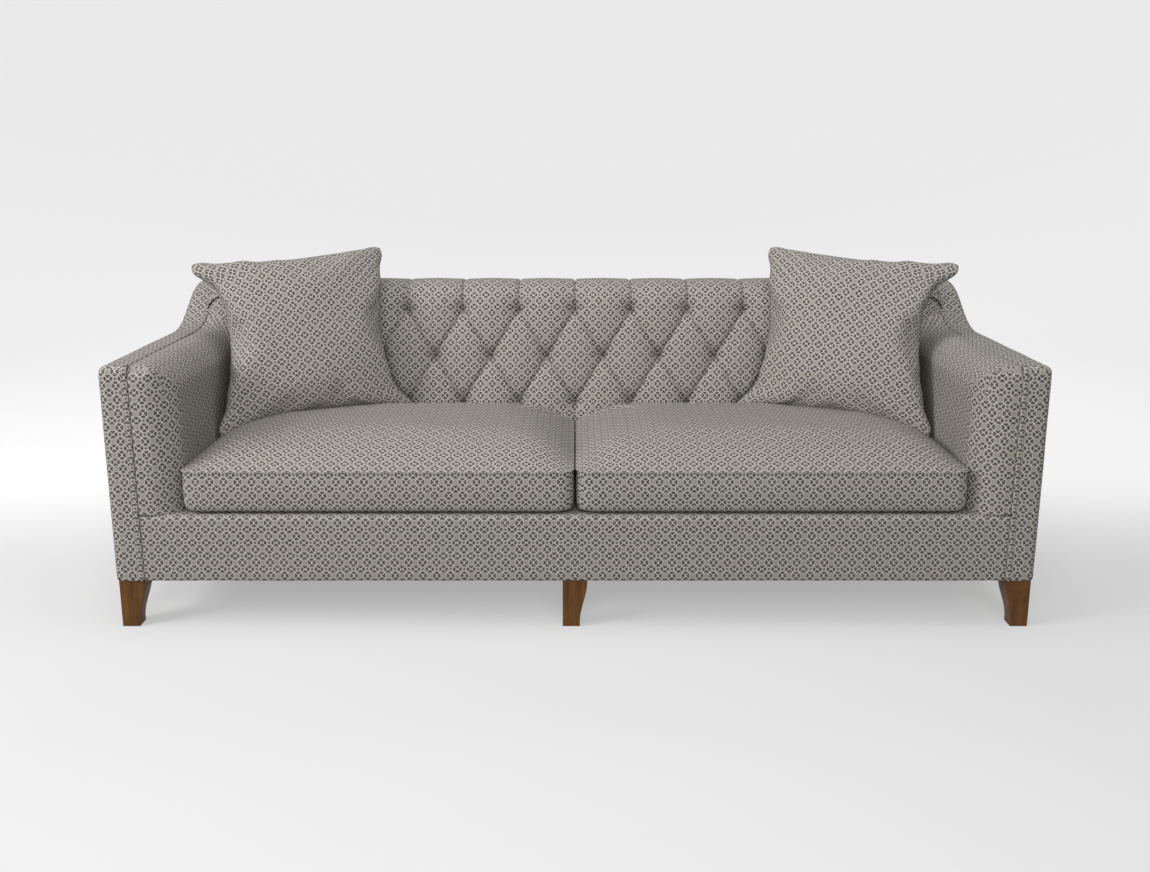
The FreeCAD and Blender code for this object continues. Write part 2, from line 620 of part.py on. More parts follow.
def back_frame(inner_sides):
    """Plywood uprights with a raked front, the rails that tie them, webbing and the outer back."""
    upright = [(f"{frame_plane(LONG_STRAP_LOW)} + rail_thickness", LONG_STRAP_LOW),
               (f"{frame_plane(LOWER_RAIL_TOP)} + rail_thickness", LOWER_RAIL_TOP),
               (frame_plane(LOWER_RAIL_TOP), LOWER_RAIL_TOP), (frame_plane(FRAME_TOP), FRAME_TOP),
               (RAIL_REAR, FRAME_TOP), (RAIL_REAR, LONG_STRAP_LOW)]
    pair(prism("EndUpright", "YZ_Plane", upright, f"-{WELT_IN}", f"-{WELT_IN} + upright_thickness"),
         "back_end_upright")
    middle_upright = prism("MiddleUpright", "YZ_Plane", upright, f"-{SEAM} / 2 - upright_thickness / 2",
                           f"-{SEAM} / 2 + upright_thickness / 2")
    node(group("MiddleUprights", [middle_upright, mirrored(middle_upright)]), "back_middle_uprights")
    lower_rail = raked_board("LowerRail", LONG_STRAP_LOW, LOWER_RAIL_TOP, "rail_thickness", FULL_X)
    node(lower_rail, "back_lower_rail")
    top = [(frame_plane(FRAME_TOP), FRAME_TOP), (frame_plane(TOP_RAIL_TOP), TOP_RAIL_TOP),
           (RAIL_REAR, TOP_RAIL_TOP), (RAIL_REAR, FRAME_TOP)]
    node(prism("TopRail", "YZ_Plane", top, f"-{WELT_IN}", WELT_IN), "back_top_rail")
    node(group("BackStraps", back_straps()), "back_webbing")
    outer = [(RAIL_REAR, "leg_height"), (RAIL_REAR, TOP_RAIL_TOP), (LIP_FRONT, TOP_RAIL_TOP),
             (LIP_FRONT, BACK),
             (f"{REAR} - arm_corner_radius", BACK, "arm_corner_radius", "cw"),
             (REAR, f"{BACK} - arm_corner_radius"), (REAR, "leg_height")]
    cover = prism("OuterBack", "YZ_Plane", outer, f"-{WELT_OUT}", WELT_OUT)
    node(cut("OuterBackNotched", cover, group("ArmSideRoom", inner_sides)), "outer_back_cover")


def back_straps():
    """Upright webbing on the front of the back frame, between its lower and top rails."""
    straps = []
    span = f"({SEAM} - upright_thickness)"
    for number in range(int(value("back_strap_count"))):
        middle = f"(-{span} + 2 * {span} * ({number} + 0.5) / back_strap_count)"
        foot, head = f"({DECK} + strap_thickness)", f"({TOP_RAIL_TOP} - strap_thickness)"
        strap = doc.addObject("Part::Box", f"BackStrap{number}")
        strap.setExpression("Length", named("strap_width"))
        strap.setExpression("Width", named("strap_thickness"))
        strap.setExpression("Height", named(f"({head} - {foot}) / cos({RAKE})"))
        strap.Placement.Rotation = FreeCAD.Rotation(FreeCAD.Vector(1, 0, 0), -1)
        strap.setExpression("Placement.Rotation.Angle", named(f"-{RAKE}"))
        strap.setExpression("Placement.Base.x", named(f"{middle} - strap_width / 2"))
        strap.setExpression("Placement.Base.y",
                            named(f"{frame_plane(foot)} - strap_thickness * cos({RAKE})"
                                  f" - strap_thickness * sin({RAKE}) * tan({RAKE})"))
        strap.setExpression("Placement.Base.z", named(foot))
        straps.append(strap)
    return straps


def button_plane(height):
    """Y of the plane that the back's buttons are drawn to."""
    slope = math.tan(math.radians(value("back_rake")))
    return value(FRONT) + value("back_foot") + (height - value(DECK)) * slope


def bezier_face(poles):
    """A smooth face from a grid of control points."""
    surface = Part.BezierSurface()
    surface.increase(len(poles) - 1, len(poles[0]) - 1)
    for row, line in enumerate(poles, start=1):
        for column, pole in enumerate(line, start=1):
            surface.setPole(row, column, pole)
    return surface.toShape()


def bezier_edge(poles):
    curve = Part.BezierCurve()
    curve.setPoles(poles)
    return curve.toShape()


def polyline(points):
    return [Part.makeLine(start, end) for start, end in zip(points, points[1:]) if start != end]


def closed_face(edges):
    """A flat face inside a ring of edges given in any order."""
    return Part.Face(Part.Wire(Part.__sortEdges__(edges)))


# Shares of the tuft depth, and lengths in millimetres, that shape the control points of the back
END_SHARE = 0.35
END_ROLL_PITCHES = 1
DIAMOND_SWELL = 3.3
UPPER_SWELL = 2.2
CREST_SWELL = 2.4
CREST_LIFT = 10
CREST_REACH = 40
LOWER_SWELL = 1.9
FOOT_SWELL = 5
PLEAT_SWELL = 0.8
FULL_SHARE = 0.65


class Tufts:
    """Control points of the deep-buttoned back: diamonds between three rows of buttons."""

    def __init__(self):
        self.pitch = value("tuft_pitch")
        self.half = value(WELT_IN) - value("soft_clearance")
        self.columns = int(self.half / self.pitch - END_SHARE)
        self.top = value(BACK) - value("tuft_top_drop")
        self.middle = self.top - value("tuft_row_height")
        self.low = self.middle - value("tuft_row_height")
        self.foot = value(DECK) + value("soft_clearance")
        self.crest = value(BACK) + value("back_crest_rise")
        self.rear = value(LIP_FRONT) - value("soft_clearance")
        self.depth = value("tuft_depth")

    def place(self, column):
        """X of a column; whole columns hold the top and low buttons, half columns the middle ones."""
        if abs(column) > self.columns:
            return math.copysign(self.half, column)
        return column * self.pitch

    def point(self, x, y, z, roll=1):
        """A control point, drawn back near the ends where the pad rolls round to the arms."""
        start = self.half - END_ROLL_PITCHES * self.pitch
        share = max(abs(x) - start, 0) / (self.half - start)
        return FreeCAD.Vector(x, y + roll * share ** 2 * value("back_end_roll"), z)

    def button(self, column, height):
        return self.point(self.place(column), button_plane(height), height)

    def pleat(self, first, second):
        """Middle control point of a pleat between two buttons."""
        return (first + second) * 0.5 - FreeCAD.Vector(0, value("tuft_pleat_rise"), 0)

    def diamond(self, column):
        """A whole tuft between four buttons."""
        top, low = self.button(column, self.top), self.button(column, self.low)
        left, right = self.button(column - 0.5, self.middle), self.button(column + 0.5, self.middle)
        heart = (left + right) * 0.5 - FreeCAD.Vector(0, DIAMOND_SWELL * self.depth, 0)
        heart.x = self.place(column)
        return [[top, self.pleat(top, right), right],
                [self.pleat(top, left), heart, self.pleat(right, low)],
                [left, self.pleat(left, low), low]]

    def ridge(self, x, upper):
        """Middle line of an upper tuft that rolls over the crest, or of a lower one that goes to the deck."""
        start = self.point(x, button_plane(self.middle), self.middle)
        if upper:
            front = button_plane(self.top)
            return [start,
                    self.point(x, start.y - UPPER_SWELL * self.depth, (self.middle + self.top) / 2),
                    self.point(x, front - CREST_SWELL * self.depth, self.crest + CREST_LIFT),
                    self.point(x, front + CREST_REACH, self.crest + 2 * CREST_LIFT, 0.5),
                    FreeCAD.Vector(x, self.rear, value(BACK))]
        return [start,
                self.point(x, button_plane(self.low) - LOWER_SWELL * self.depth, self.low),
                self.point(x, button_plane(self.foot) - FOOT_SWELL, self.foot)]

    def groove(self, x, upper):
        """Pleat that runs from a button over the crest, or down to the deck."""
        if upper:
            front = button_plane(self.top)
            height = self.crest - value("pleat_crest_drop")
            return [self.point(x, front, self.top),
                    self.point(x, front - PLEAT_SWELL * self.depth, (self.top + self.crest) / 2),
                    self.point(x, front - PLEAT_SWELL * self.depth / 2, height + CREST_LIFT / 4),
                    self.point(x, front + CREST_REACH, height + CREST_LIFT, 0.5),
                    FreeCAD.Vector(x, self.rear, value(BACK))]
        start = self.point(x, button_plane(self.low), self.low)
        end = self.point(x, button_plane(self.foot), self.foot)
        return [start, self.pleat(start, end), end]

    def half_tuft(self, column, side, upper):
        """Half of an upper or lower tuft, between its middle line and one pleat."""
        ridge_x, groove_x = self.place(column + side), self.place(column)
        ridge, groove = self.ridge(ridge_x, upper), self.groove(groove_x, upper)
        middle = [self.pleat(ridge[0], groove[0])]
        for high, low in zip(ridge[1:], groove[1:]):
            pole = high * FULL_SHARE + low * (1 - FULL_SHARE)
            pole.x = (ridge_x + groove_x) / 2
            middle.append(pole)
        return [ridge, middle, groove]


def back_pad(tufts):
    """The buttoned pad: tufted face and crest, closed behind along the frame and webbing."""
    faces, bottom, crest_line = [], [], []
    for column in range(-tufts.columns, tufts.columns + 1):
        faces.append(bezier_face(tufts.diamond(column)))
        for side in (-0.5, 0.5):
            upper = tufts.half_tuft(column, side, True)
            lower = tufts.half_tuft(column, side, False)
            faces += [bezier_face(upper), bezier_face(lower)]
            bottom.append(bezier_edge([line[-1] for line in lower]))
            crest_line += [upper[0][-1], upper[2][-1]]
    behind = value("soft_clearance") + value(f"strap_thickness / cos({RAKE})")
    rail_over = value(TOP_RAIL_TOP) + value("soft_clearance")
    rail_plane = value(frame_plane(TOP_RAIL_TOP)) - behind
    foot_plane = value(frame_plane(DECK)) - behind
    rear = [(tufts.rear, value(BACK)), (tufts.rear, rail_over), (rail_plane, rail_over),
            (foot_plane, tufts.foot)]
    ends = []
    for side in (-1, 1):
        x = side * tufts.half
        ends.append([FreeCAD.Vector(x, y, z) for y, z in rear])
        upper, lower = tufts.ridge(x, True), tufts.ridge(x, False)
        edges = [bezier_edge(upper), bezier_edge(lower)] + polyline(ends[-1] + [lower[-1]])
        faces.append(closed_face(edges))
    crest_line.sort(key=lambda point: point.x)
    crest_edges = polyline([point for number, point in enumerate(crest_line)
                            if number == 0 or point.distanceToPoint(crest_line[number - 1]) > TOUCH])
    sides = [[Part.makeLine(first, second) for first, second in zip(end, end[1:])] for end in ends]
    across = [Part.makeLine(first, second) for first, second in zip(ends[0][1:], ends[1][1:])]
    faces.append(closed_face(crest_edges + [sides[0][0], across[0], sides[1][0]]))
    for number in (1, 2):
        edges = [across[number - 1], sides[0][number], across[number], sides[1][number]]
        faces.append(closed_face(edges))
    lower_ends = [Part.makeLine(end[-1], tufts.ridge(end[-1].x, False)[-1]) for end in ends]
    faces.append(closed_face(bottom + lower_ends + [across[-1]]))
    solid = sew(faces)
    for side in (-1, 1):
        solid = solid.cut(arm_wedge(side))
    return solid.removeSplitter() if solid.isValid() else solid


def arm_wedge(side):
    """The room of an arm pad, with clearance, that the back pad's end is cut away for."""
    gap = value("soft_clearance")
    inside, outside = value(PAD_IN) - gap, value(SEAM)
    front, rear = value(FRONT), value(JOIN_IN) + gap
    slope = (value(JOIN_OUT) - value(JOIN_IN)) / (outside - value(PAD_IN))
    reach = outside + MARGIN
    plan = [(inside, front), (reach, front), (reach, rear + slope * (reach - inside)), (inside, rear)]
    points = [FreeCAD.Vector(side * x, y, value("leg_height")) for x, y in plan]
    return Part.Face(Part.makePolygon(points + points[:1])).extrude(FreeCAD.Vector(0, 0, value(BACK)))


def back_buttons(tufts):
    """Covered buttons with tapered backs, one at each corner of the diamonds."""
    thickness, dome, taper = value("button_thickness"), value("button_dome"), value("button_taper")
    radius, shank = value("button_radius"), value("button_shank_radius")
    profile = [(0, 0), (shank, 0), (radius, taper), (radius, taper + thickness)]
    edges = polyline([FreeCAD.Vector(x, 0, z) for x, z in profile])
    ball = (radius ** 2 + dome ** 2) / (2 * dome)
    middle = taper + thickness + dome - ball
    half_angle = math.asin(radius / ball) / 2
    rim = FreeCAD.Vector(radius, 0, taper + thickness)
    half_way = FreeCAD.Vector(ball * math.sin(half_angle), 0, middle + ball * math.cos(half_angle))
    crown = FreeCAD.Vector(0, 0, middle + ball)
    edges += [Part.Arc(rim, half_way, crown).toShape(), Part.makeLine(crown, FreeCAD.Vector(0, 0, 0))]
    section = Part.Face(Part.Wire(edges))
    single = section.revolve(FreeCAD.Vector(0, 0, 0), FreeCAD.Vector(0, 0, 1), 360)
    rake = math.radians(value("back_rake"))
    outward = FreeCAD.Vector(0, -math.cos(rake), math.sin(rake))
    turn = FreeCAD.Rotation(FreeCAD.Vector(0, 0, 1), outward)
    buttons = []
    rows = ((tufts.top, 0, "top_button_stand"), (tufts.middle, 0.5, "middle_button_stand"),
            (tufts.low, 0, "low_button_stand"))
    for height, shift, stand in rows:
        for number in range(-tufts.columns, tufts.columns + 1):
            place = tufts.button(number + shift, height)
            if abs(place.x) < value(PAD_IN) - 2 * radius:
                button = single.copy()
                button.Placement = FreeCAD.Placement(place + outward * value(stand), turn)
                buttons.append(button)
    return Part.makeCompound(buttons)


# Loose cushions

def rounded_rectangle(x_range, y_range, radius, height):
    """A level outline with round corners."""
    (x_low, x_high), (y_low, y_high) = x_range, y_range
    middles = ((x_high - radius, y_low + radius, -90), (x_high - radius, y_high - radius, 0),
               (x_low + radius, y_high - radius, 90), (x_low + radius, y_low + radius, 180))
    points, edges = [], []
    for x, y, start in middles:
        turns = [math.radians(start + step) for step in (0, 45, 90)]
        arc = [FreeCAD.Vector(x + radius * math.cos(turn), y + radius * math.sin(turn), height)
               for turn in turns]
        if points:
            edges.append(Part.makeLine(points[-1], arc[0]))
        edges.append(Part.Arc(*arc).toShape())
        points += arc
    edges.append(Part.makeLine(points[-1], points[0]))
    return Part.Wire(edges)


# Smallest plan corner in millimetres, and the sections that a seat cushion is lofted through
SMALLEST_CORNER = 6
SIDE_SECTIONS = 4
CROWN_SECTIONS = 6


def seat_shape():
    """Boxed seat cushion: drawn-in seams, full sides and a crown that is flat in the middle."""
    low = value(DECK) + value("soft_clearance")
    edge, crown, run = value("seat_edge_height"), value("seat_crown"), value("seat_crown_run")
    bulge, draw = value("seat_edge_bulge"), value("seat_draw_in")
    x_range = (-value(PAD_IN) + value("seat_side_clearance"), -value("seat_gap") / 2)
    y_range = (value(FRONT) + value("seat_front_inset"),
               value(FRONT) + value("back_foot") - value("seat_rear_clearance"))

    def section(inset, height):
        outline = [(low_side + inset, high_side - inset) for low_side, high_side in (x_range, y_range)]
        radius = max(value("seat_corner_radius") - inset / 2, SMALLEST_CORNER)
        return rounded_rectangle(*outline, radius, height)

    sides = []
    for number in range(SIDE_SECTIONS + 1):
        share = number / SIDE_SECTIONS
        full = math.sin(math.pi * share)
        sides.append(section(bulge * (1 - full) + draw * (1 - full) ** 2, low + edge * share))
    border = Part.makeLoft(sides, True, False)
    domes = []
    for number in range(CROWN_SECTIONS + 1):
        share = number / CROWN_SECTIONS
        inset = bulge + draw + run * share ** 2
        domes.append(section(inset, low + edge + crown * math.sin(share * math.pi / 2)))
    return border.fuse(Part.makeLoft(domes, True, True)).removeSplitter(), low, x_range, y_range


def seat_cushions():
    """Two seat cushions, each a cover over a foam core."""
    shape, low, x_range, y_range = seat_shape()
    wrap, inset = value("foam_wrap"), value("foam_inset")
    size = [high - start - 2 * inset for start, high in (x_range, y_range)]
    core = Part.makeBox(size[0], size[1], value("seat_edge_height") + value("seat_crown") - 2 * wrap,
                        FreeCAD.Vector(x_range[0] + inset, y_range[0] + inset, low + wrap))
    pair(soft("SeatCover", shape.cut(core)), "seat_cover")
    pair(soft("SeatFoam", core), "seat_foam")


# How far a cushion's face rises for each unit its control points stand out
FULLNESS = 0.766


def pillow(width, height, thickness, draw):
    """Knife-edge cushion about its middle, standing in the XZ plane: two full faces on one drawn-in seam."""
    bow = thickness / 2 / FULLNESS
    steps = (-1, -0.5, 0, 0.5, 1)
    pull = (0, 1, 1.4, 1, 0)

    def grid(way):
        rows = []
        for v_number, v in enumerate(steps):
            row = []
            for u_number, u in enumerate(steps):
                x = u * (width / 2 - draw * pull[v_number] * abs(u))
                z = v * (height / 2 - draw * pull[u_number] * abs(v))
                inner = u_number in (1, 2, 3) and v_number in (1, 2, 3)
                row.append(FreeCAD.Vector(x, way * bow if inner else 0, z))
            rows.append(row)
        return rows

    return sew([bezier_face(grid(-1)), bezier_face(grid(1))])


# The filling keeps this many wall thicknesses, as a share of the cushion, off the seam
SEAM_SHARE = 1.6


def scatter_cushions():
    """Two scatter cushions that stand in the corners, each a cover over its filling."""
    width, height = value("scatter_width"), value("scatter_height")
    thickness, draw, wall = value("scatter_thickness"), value("scatter_draw_in"), value("scatter_wall")
    outer = pillow(width, height, thickness, draw)
    shrink = 1 - SEAM_SHARE * wall / thickness
    inner = pillow(width * shrink, height * shrink, thickness - 2 * wall, draw * shrink)
    middle = FreeCAD.Vector(-value(PAD_IN) + value("scatter_side_place"),
                            value(FRONT) + value("back_foot") - value("scatter_back_place"),
                            value(f"{DECK} + scatter_foot_height + scatter_height / 2 * cos({LEAN})"))
    turn = (FreeCAD.Rotation(FreeCAD.Vector(0, 0, 1), value("scatter_turn"))
            * FreeCAD.Rotation(FreeCAD.Vector(1, 0, 0), -value("scatter_lean"))
            * FreeCAD.Rotation(FreeCAD.Vector(0, 1, 0), -value("scatter_tilt")))
    place = FreeCAD.Placement(middle, turn)
    pair(soft("ScatterCover", outer.cut(inner), place), "scatter_cover")
    pair(soft("ScatterFilling", inner, place), "scatter_filling")


drilled = legs()
arm_shanks, arm_inner_sides = arms(drilled)
seat_base(drilled, arm_shanks)
back_frame(arm_inner_sides)
back_tufts = Tufts()
node(soft("BackPad", back_pad(back_tufts)), "back_pad")
node(soft("BackButtons", back_buttons(back_tufts)), "back_buttons")
seat_cushions()
scatter_cushions()
doc.recompute()

# Check every object and sub-part, then write one file for each node
for piece in doc.Objects:
    if "Invalid" in piece.State or "Error" in piece.State:
        raise RuntimeError(f"{piece.Label} did not build: {piece.State}")
for piece in nodes:
    if piece.Shape.isNull() or not piece.Shape.isValid() or not piece.Shape.Solids:
        raise RuntimeError(f"{piece.Label} has no valid solid")
os.makedirs("parts", exist_ok=True)
for piece in nodes:
    piece.Shape.exportStep(os.path.join("parts", f"{piece.Label}.step"))
    print(piece.Label, len(piece.Shape.Solids), round(piece.Shape.Volume / 1000), "cm3")
print(len(nodes), "nodes")
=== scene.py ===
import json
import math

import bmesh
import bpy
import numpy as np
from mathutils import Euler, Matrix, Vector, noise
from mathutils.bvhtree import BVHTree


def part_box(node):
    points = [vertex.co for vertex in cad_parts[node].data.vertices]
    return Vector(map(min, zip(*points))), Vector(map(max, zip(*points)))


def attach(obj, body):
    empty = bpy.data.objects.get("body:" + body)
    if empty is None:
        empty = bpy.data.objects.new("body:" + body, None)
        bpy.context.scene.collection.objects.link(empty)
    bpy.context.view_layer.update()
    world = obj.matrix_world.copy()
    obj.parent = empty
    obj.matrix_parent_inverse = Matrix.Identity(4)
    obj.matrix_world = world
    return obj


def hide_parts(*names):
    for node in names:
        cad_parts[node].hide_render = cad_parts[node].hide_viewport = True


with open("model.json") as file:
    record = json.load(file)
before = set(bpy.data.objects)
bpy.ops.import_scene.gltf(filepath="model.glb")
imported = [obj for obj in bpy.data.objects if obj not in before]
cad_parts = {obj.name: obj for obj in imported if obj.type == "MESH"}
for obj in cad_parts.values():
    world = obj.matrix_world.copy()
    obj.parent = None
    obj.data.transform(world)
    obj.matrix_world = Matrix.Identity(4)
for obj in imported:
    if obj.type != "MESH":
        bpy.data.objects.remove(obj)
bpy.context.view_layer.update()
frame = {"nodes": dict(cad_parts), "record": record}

# %% [markdown]
# # The looks of a four-seater sofa
#
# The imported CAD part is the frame: it says where every piece is and how the loose cushions lift off.
# This lesson puts the upholstery on it. A padded piece made in CAD is stiff and even, and the eye sees it
# at once, so every soft piece is made again here: sewn, filled and drawn in by its buttons.
# The inner frame stays as the CAD drew it, and the legs get a finer line.
#
# The order is: helpers, fabric and wood, the two kinds of loose cushion, the buttoned back and its buttons,
# the arms, base and outer back, the deck and dust cloth, the legs, the welts, and last the floor, lights
# and camera.

nodes = frame["nodes"]


def node_box(name):
    """Lowest and highest corner of a CAD node as arrays."""
    low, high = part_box(name)
    return np.array(low), np.array(high)


# %% [markdown]
# ## Meshes
#
# A piece is a plain mesh with its place in its vertices. Numpy reads and writes the points all at once,
# which is far quicker than a loop over vertices.

# %% Mesh helpers
def link_object(name, data):
    """An object for a mesh, a lamp or a camera, put in the scene."""
    thing = bpy.data.objects.new(name, data)
    bpy.context.scene.collection.objects.link(thing)
    return thing


def make_object(name, vertices, faces):
    """A mesh object from arrays of points and faces."""
    mesh = bpy.data.meshes.new(name)
    mesh.from_pydata([tuple(point) for point in vertices], [], [tuple(face) for face in faces])
    mesh.update()
    return link_object(name, mesh)


def grid_faces(index):
    """Faces between the points of a grid, given as the grid of their numbers."""
    corners = [index[:-1, :-1], index[:-1, 1:], index[1:, 1:], index[1:, :-1]]
    return np.stack(corners, axis=-1).reshape(-1, 4)


def ring_faces(rings, count, start=0):
    """Faces between closed rings of points that follow each other."""
    faces = []
    for ring in range(rings - 1):
        for number in range(count):
            first = start + ring * count + number
            second = start + ring * count + (number + 1) % count
            faces.append((first, second, second + count, first + count))
    return faces


def read_values(items, field, width=1, kind=float):
    """One value, or a row of values, from each item of a mesh."""
    values = np.empty(len(items) * width, dtype=kind)
    items.foreach_get(field, values)
    return values.reshape(-1, width) if width > 1 else values


def points_of(piece):
    """The vertices of a piece as an array."""
    return read_values(piece.data.vertices, "co", 3)


def set_points(piece, points):
    piece.data.vertices.foreach_set("co", np.ascontiguousarray(points, dtype=float).ravel())
    piece.data.update()


def vertex_normals(piece):
    return read_values(piece.data.vertex_normals, "vector", 3)


def outward(piece):
    """Turn all faces of a piece to the outside."""
    work = bmesh.new()
    work.from_mesh(piece.data)
    bmesh.ops.recalc_face_normals(work, faces=work.faces)
    work.to_mesh(piece.data)
    work.free()


def smooth(piece):
    piece.data.polygons.foreach_set("use_smooth", [True] * len(piece.data.polygons))
    piece.data.update()


# %% [markdown]
# ## Laying on the cloth
#
# The cloth's pattern lies in a UV map that is measured in metres, so one material serves every piece at the
# same scale. On panels that are sewn flat the map is laid on from the side each face looks to, as a cutter
# would lay a pattern on a panel. On the back, arm pads, welts and scatter cushions it follows the cloth.

# %% Cloth map
UV_NAME = "cloth"
LEVEL_FIRST = np.array([1.0, 1.0, 1.02])


def cloth_map(mesh):
    """The mesh's map of the cloth, made if it has none, and the vertex at each corner of its faces."""
    layer = mesh.uv_layers.get(UV_NAME) or mesh.uv_layers.new(name=UV_NAME)
    return layer, read_values(mesh.loops, "vertex_index", kind=int)


def box_uv(piece):
    """Lay the cloth on each face from the side that the face looks to, in metres."""
    mesh = piece.data
    layer, loop_vertex = cloth_map(mesh)
    sizes = read_values(mesh.polygons, "loop_total", kind=int)
    normals = np.abs(read_values(mesh.polygons, "normal", 3)) * LEVEL_FIRST
    side = np.repeat(normals.argmax(axis=1), sizes)
    place = points_of(piece)[loop_vertex]
    first = np.where(side == 0, place[:, 1], place[:, 0])
    second = np.where(side == 2, place[:, 1], place[:, 2])
    layer.data.foreach_set("uv", np.column_stack([first, second]).ravel())


def vertex_uv(piece, uv):
    """Give each vertex its own place on the cloth."""
    layer, loop_vertex = cloth_map(piece.data)
    layer.data.foreach_set("uv", np.asarray(uv)[loop_vertex].ravel())


# %% [markdown]
# ## Copies, modifiers and unevenness
#
# Modifiers are used as tools: each runs once and its result becomes the piece's own mesh. Cloth over
# wadding is never quite even, so a slow seeded noise moves such skins by about a millimetre.

# %% Copies and modifiers
DOUBLE_POINTS = 1e-5
WAVE_SHIFT = (3.7, 1.3, 2.1)


def apply_modifiers(piece):
    """Turn what the modifiers show into the piece's own mesh."""
    graph = bpy.context.evaluated_depsgraph_get()
    mesh = bpy.data.meshes.new_from_object(piece.evaluated_get(graph))
    piece.modifiers.clear()
    old = piece.data
    piece.data = mesh
    bpy.data.meshes.remove(old)


def modify(piece, kind, **settings):
    """Run one modifier on a piece and keep its result."""
    modifier = piece.modifiers.new(kind.lower(), kind)
    for name, value in settings.items():
        setattr(modifier, name, value)
    apply_modifiers(piece)


def copy_node(name, node):
    """A copy of a CAD node, with double points merged."""
    work = bmesh.new()
    work.from_mesh(nodes[node].data)
    bmesh.ops.remove_doubles(work, verts=work.verts, dist=DOUBLE_POINTS)
    mesh = bpy.data.meshes.new(name)
    work.to_mesh(mesh)
    work.free()
    return link_object(name, mesh)


def mirror_copy(piece, name):
    """The same piece on the other side of the middle, with its faces turned back outwards."""
    twin = link_object(name, piece.data.copy())
    twin.data.name = name
    points = points_of(twin)
    points[:, 0] *= -1
    set_points(twin, points)
    twin.data.flip_normals()
    return twin


def wave(points, size, seed):
    """Soft random swell from -1 to 1 at each point; size is its length in metres."""
    shift = Vector([seed * part for part in WAVE_SHIFT])
    return np.array([noise.noise(Vector(point) / size + shift) for point in points])


# %% [markdown]
# ## Arithmetic in a material
#
# Pictures of cloth or timber are not used: every pattern is worked out by nodes. A small class gives the
# nodes short names, so that a pattern reads as a few lines of sums.

# %% Arithmetic nodes
class Sums:
    """Short names for the nodes of one material."""

    def __init__(self, material):
        self.nodes = material.node_tree.nodes
        self.links = material.node_tree.links
        self.shader = self.nodes["Principled BSDF"]

    def add(self, kind, **values):
        node = self.nodes.new(kind)
        for name, value in values.items():
            setattr(node, name, value)
        return node

    def put(self, socket, value):
        if isinstance(value, (int, float, tuple)):
            socket.default_value = value
        else:
            self.links.new(value, socket)

    def shade(self, name, value):
        """Give one input of the shader a value or a pattern."""
        self.put(self.shader.inputs[name], value)

    def math(self, operation, *values):
        node = self.add("ShaderNodeMath", operation=operation)
        for socket, value in zip(node.inputs, values):
            self.put(socket, value)
        return node.outputs[0]

    def place(self):
        """Where a point is on the object, in metres."""
        return self.add("ShaderNodeTexCoord").outputs["Object"]

    def split(self, vector):
        node = self.add("ShaderNodeSeparateXYZ")
        self.put(node.inputs[0], vector)
        return [node.outputs[axis] for axis in "XYZ"]

    def noise_at(self, place, scale, detail=2.0, distortion=0.0, dimensions="3D"):
        """Soft random values from 0 to 1."""
        node = self.add("ShaderNodeTexNoise", noise_dimensions=dimensions)
        inputs = {"Vector": place, "Scale": scale, "Detail": detail, "Distortion": distortion}
        for name, value in inputs.items():
            self.put(node.inputs[name], value)
        return node.outputs["Fac"]

    def bump(self, height, strength, distance):
        node = self.add("ShaderNodeBump")
        for name, value in {"Height": height, "Strength": strength, "Distance": distance}.items():
            self.put(node.inputs[name], value)
        return node.outputs["Normal"]

    def near(self, value):
        """How far a coordinate is from its nearest whole number, with its sign."""
        return self.math("SUBTRACT", value, self.math("ROUND", value))

    def spot(self, across, along, half_across, half_along, edge):
        """1 inside an ellipse and 0 outside it, with a soft edge."""
        first = self.math("POWER", self.math("DIVIDE", self.math("ABSOLUTE", across), half_across), 2.0)
        second = self.math("POWER", self.math("DIVIDE", self.math("ABSOLUTE", along), half_along), 2.0)
        gone = self.math("SQRT", self.math("ADD", first, second))
        return self.math("SUBTRACT", 1.0, self.ramp(gone, 1.0 - edge, 1.0 + edge))

    def ramp(self, value, low, high):
        """From 0 to 1 as a value goes from low to high."""
        ramp = self.add("ShaderNodeMapRange", interpolation_type="SMOOTHSTEP")
        for name, given in {"Value": value, "From Min": low, "From Max": high}.items():
            self.put(ramp.inputs[name], given)
        return ramp.outputs["Result"]

    def pick(self, choice, first, second):
        """The first value where the choice is 1 and the second where it is 0."""
        return self.math("MULTIPLY_ADD", choice, self.math("SUBTRACT", first, second), second)

    def mix(self, share, first, second):
        node = self.add("ShaderNodeMix", data_type="RGBA")
        for name, value in {"Factor": share, "A": first, "B": second}.items():
            self.put(node.inputs[name], value)
        return node.outputs["Result"]


def start_material(name, roughness, metallic=0.0, specular=0.5):
    """A new material and the sums on its nodes."""
    material = bpy.data.materials.new(name)
    material.use_nodes = True
    sums = Sums(material)
    sums.shade("Roughness", roughness)
    sums.shade("Metallic", metallic)
    sums.shade("Specular IOR Level", specular)
    return material, sums


# %% [markdown]
# ## Fabric
#
# The cloth is a small woven geometric: four-petalled florets on a square repeat of about 34 mm, a second
# floret half a repeat over, a beige disc and a dark dot between them. Every place on the cloth belongs to
# the floret nearest to it. Measured from that floret, two petals are wedges that look to the discs and
# two are ellipses that look to the dots. Florets and petals differ in tone, and fine threads break the
# edges up. The sizes of the motif are shares of one repeat.

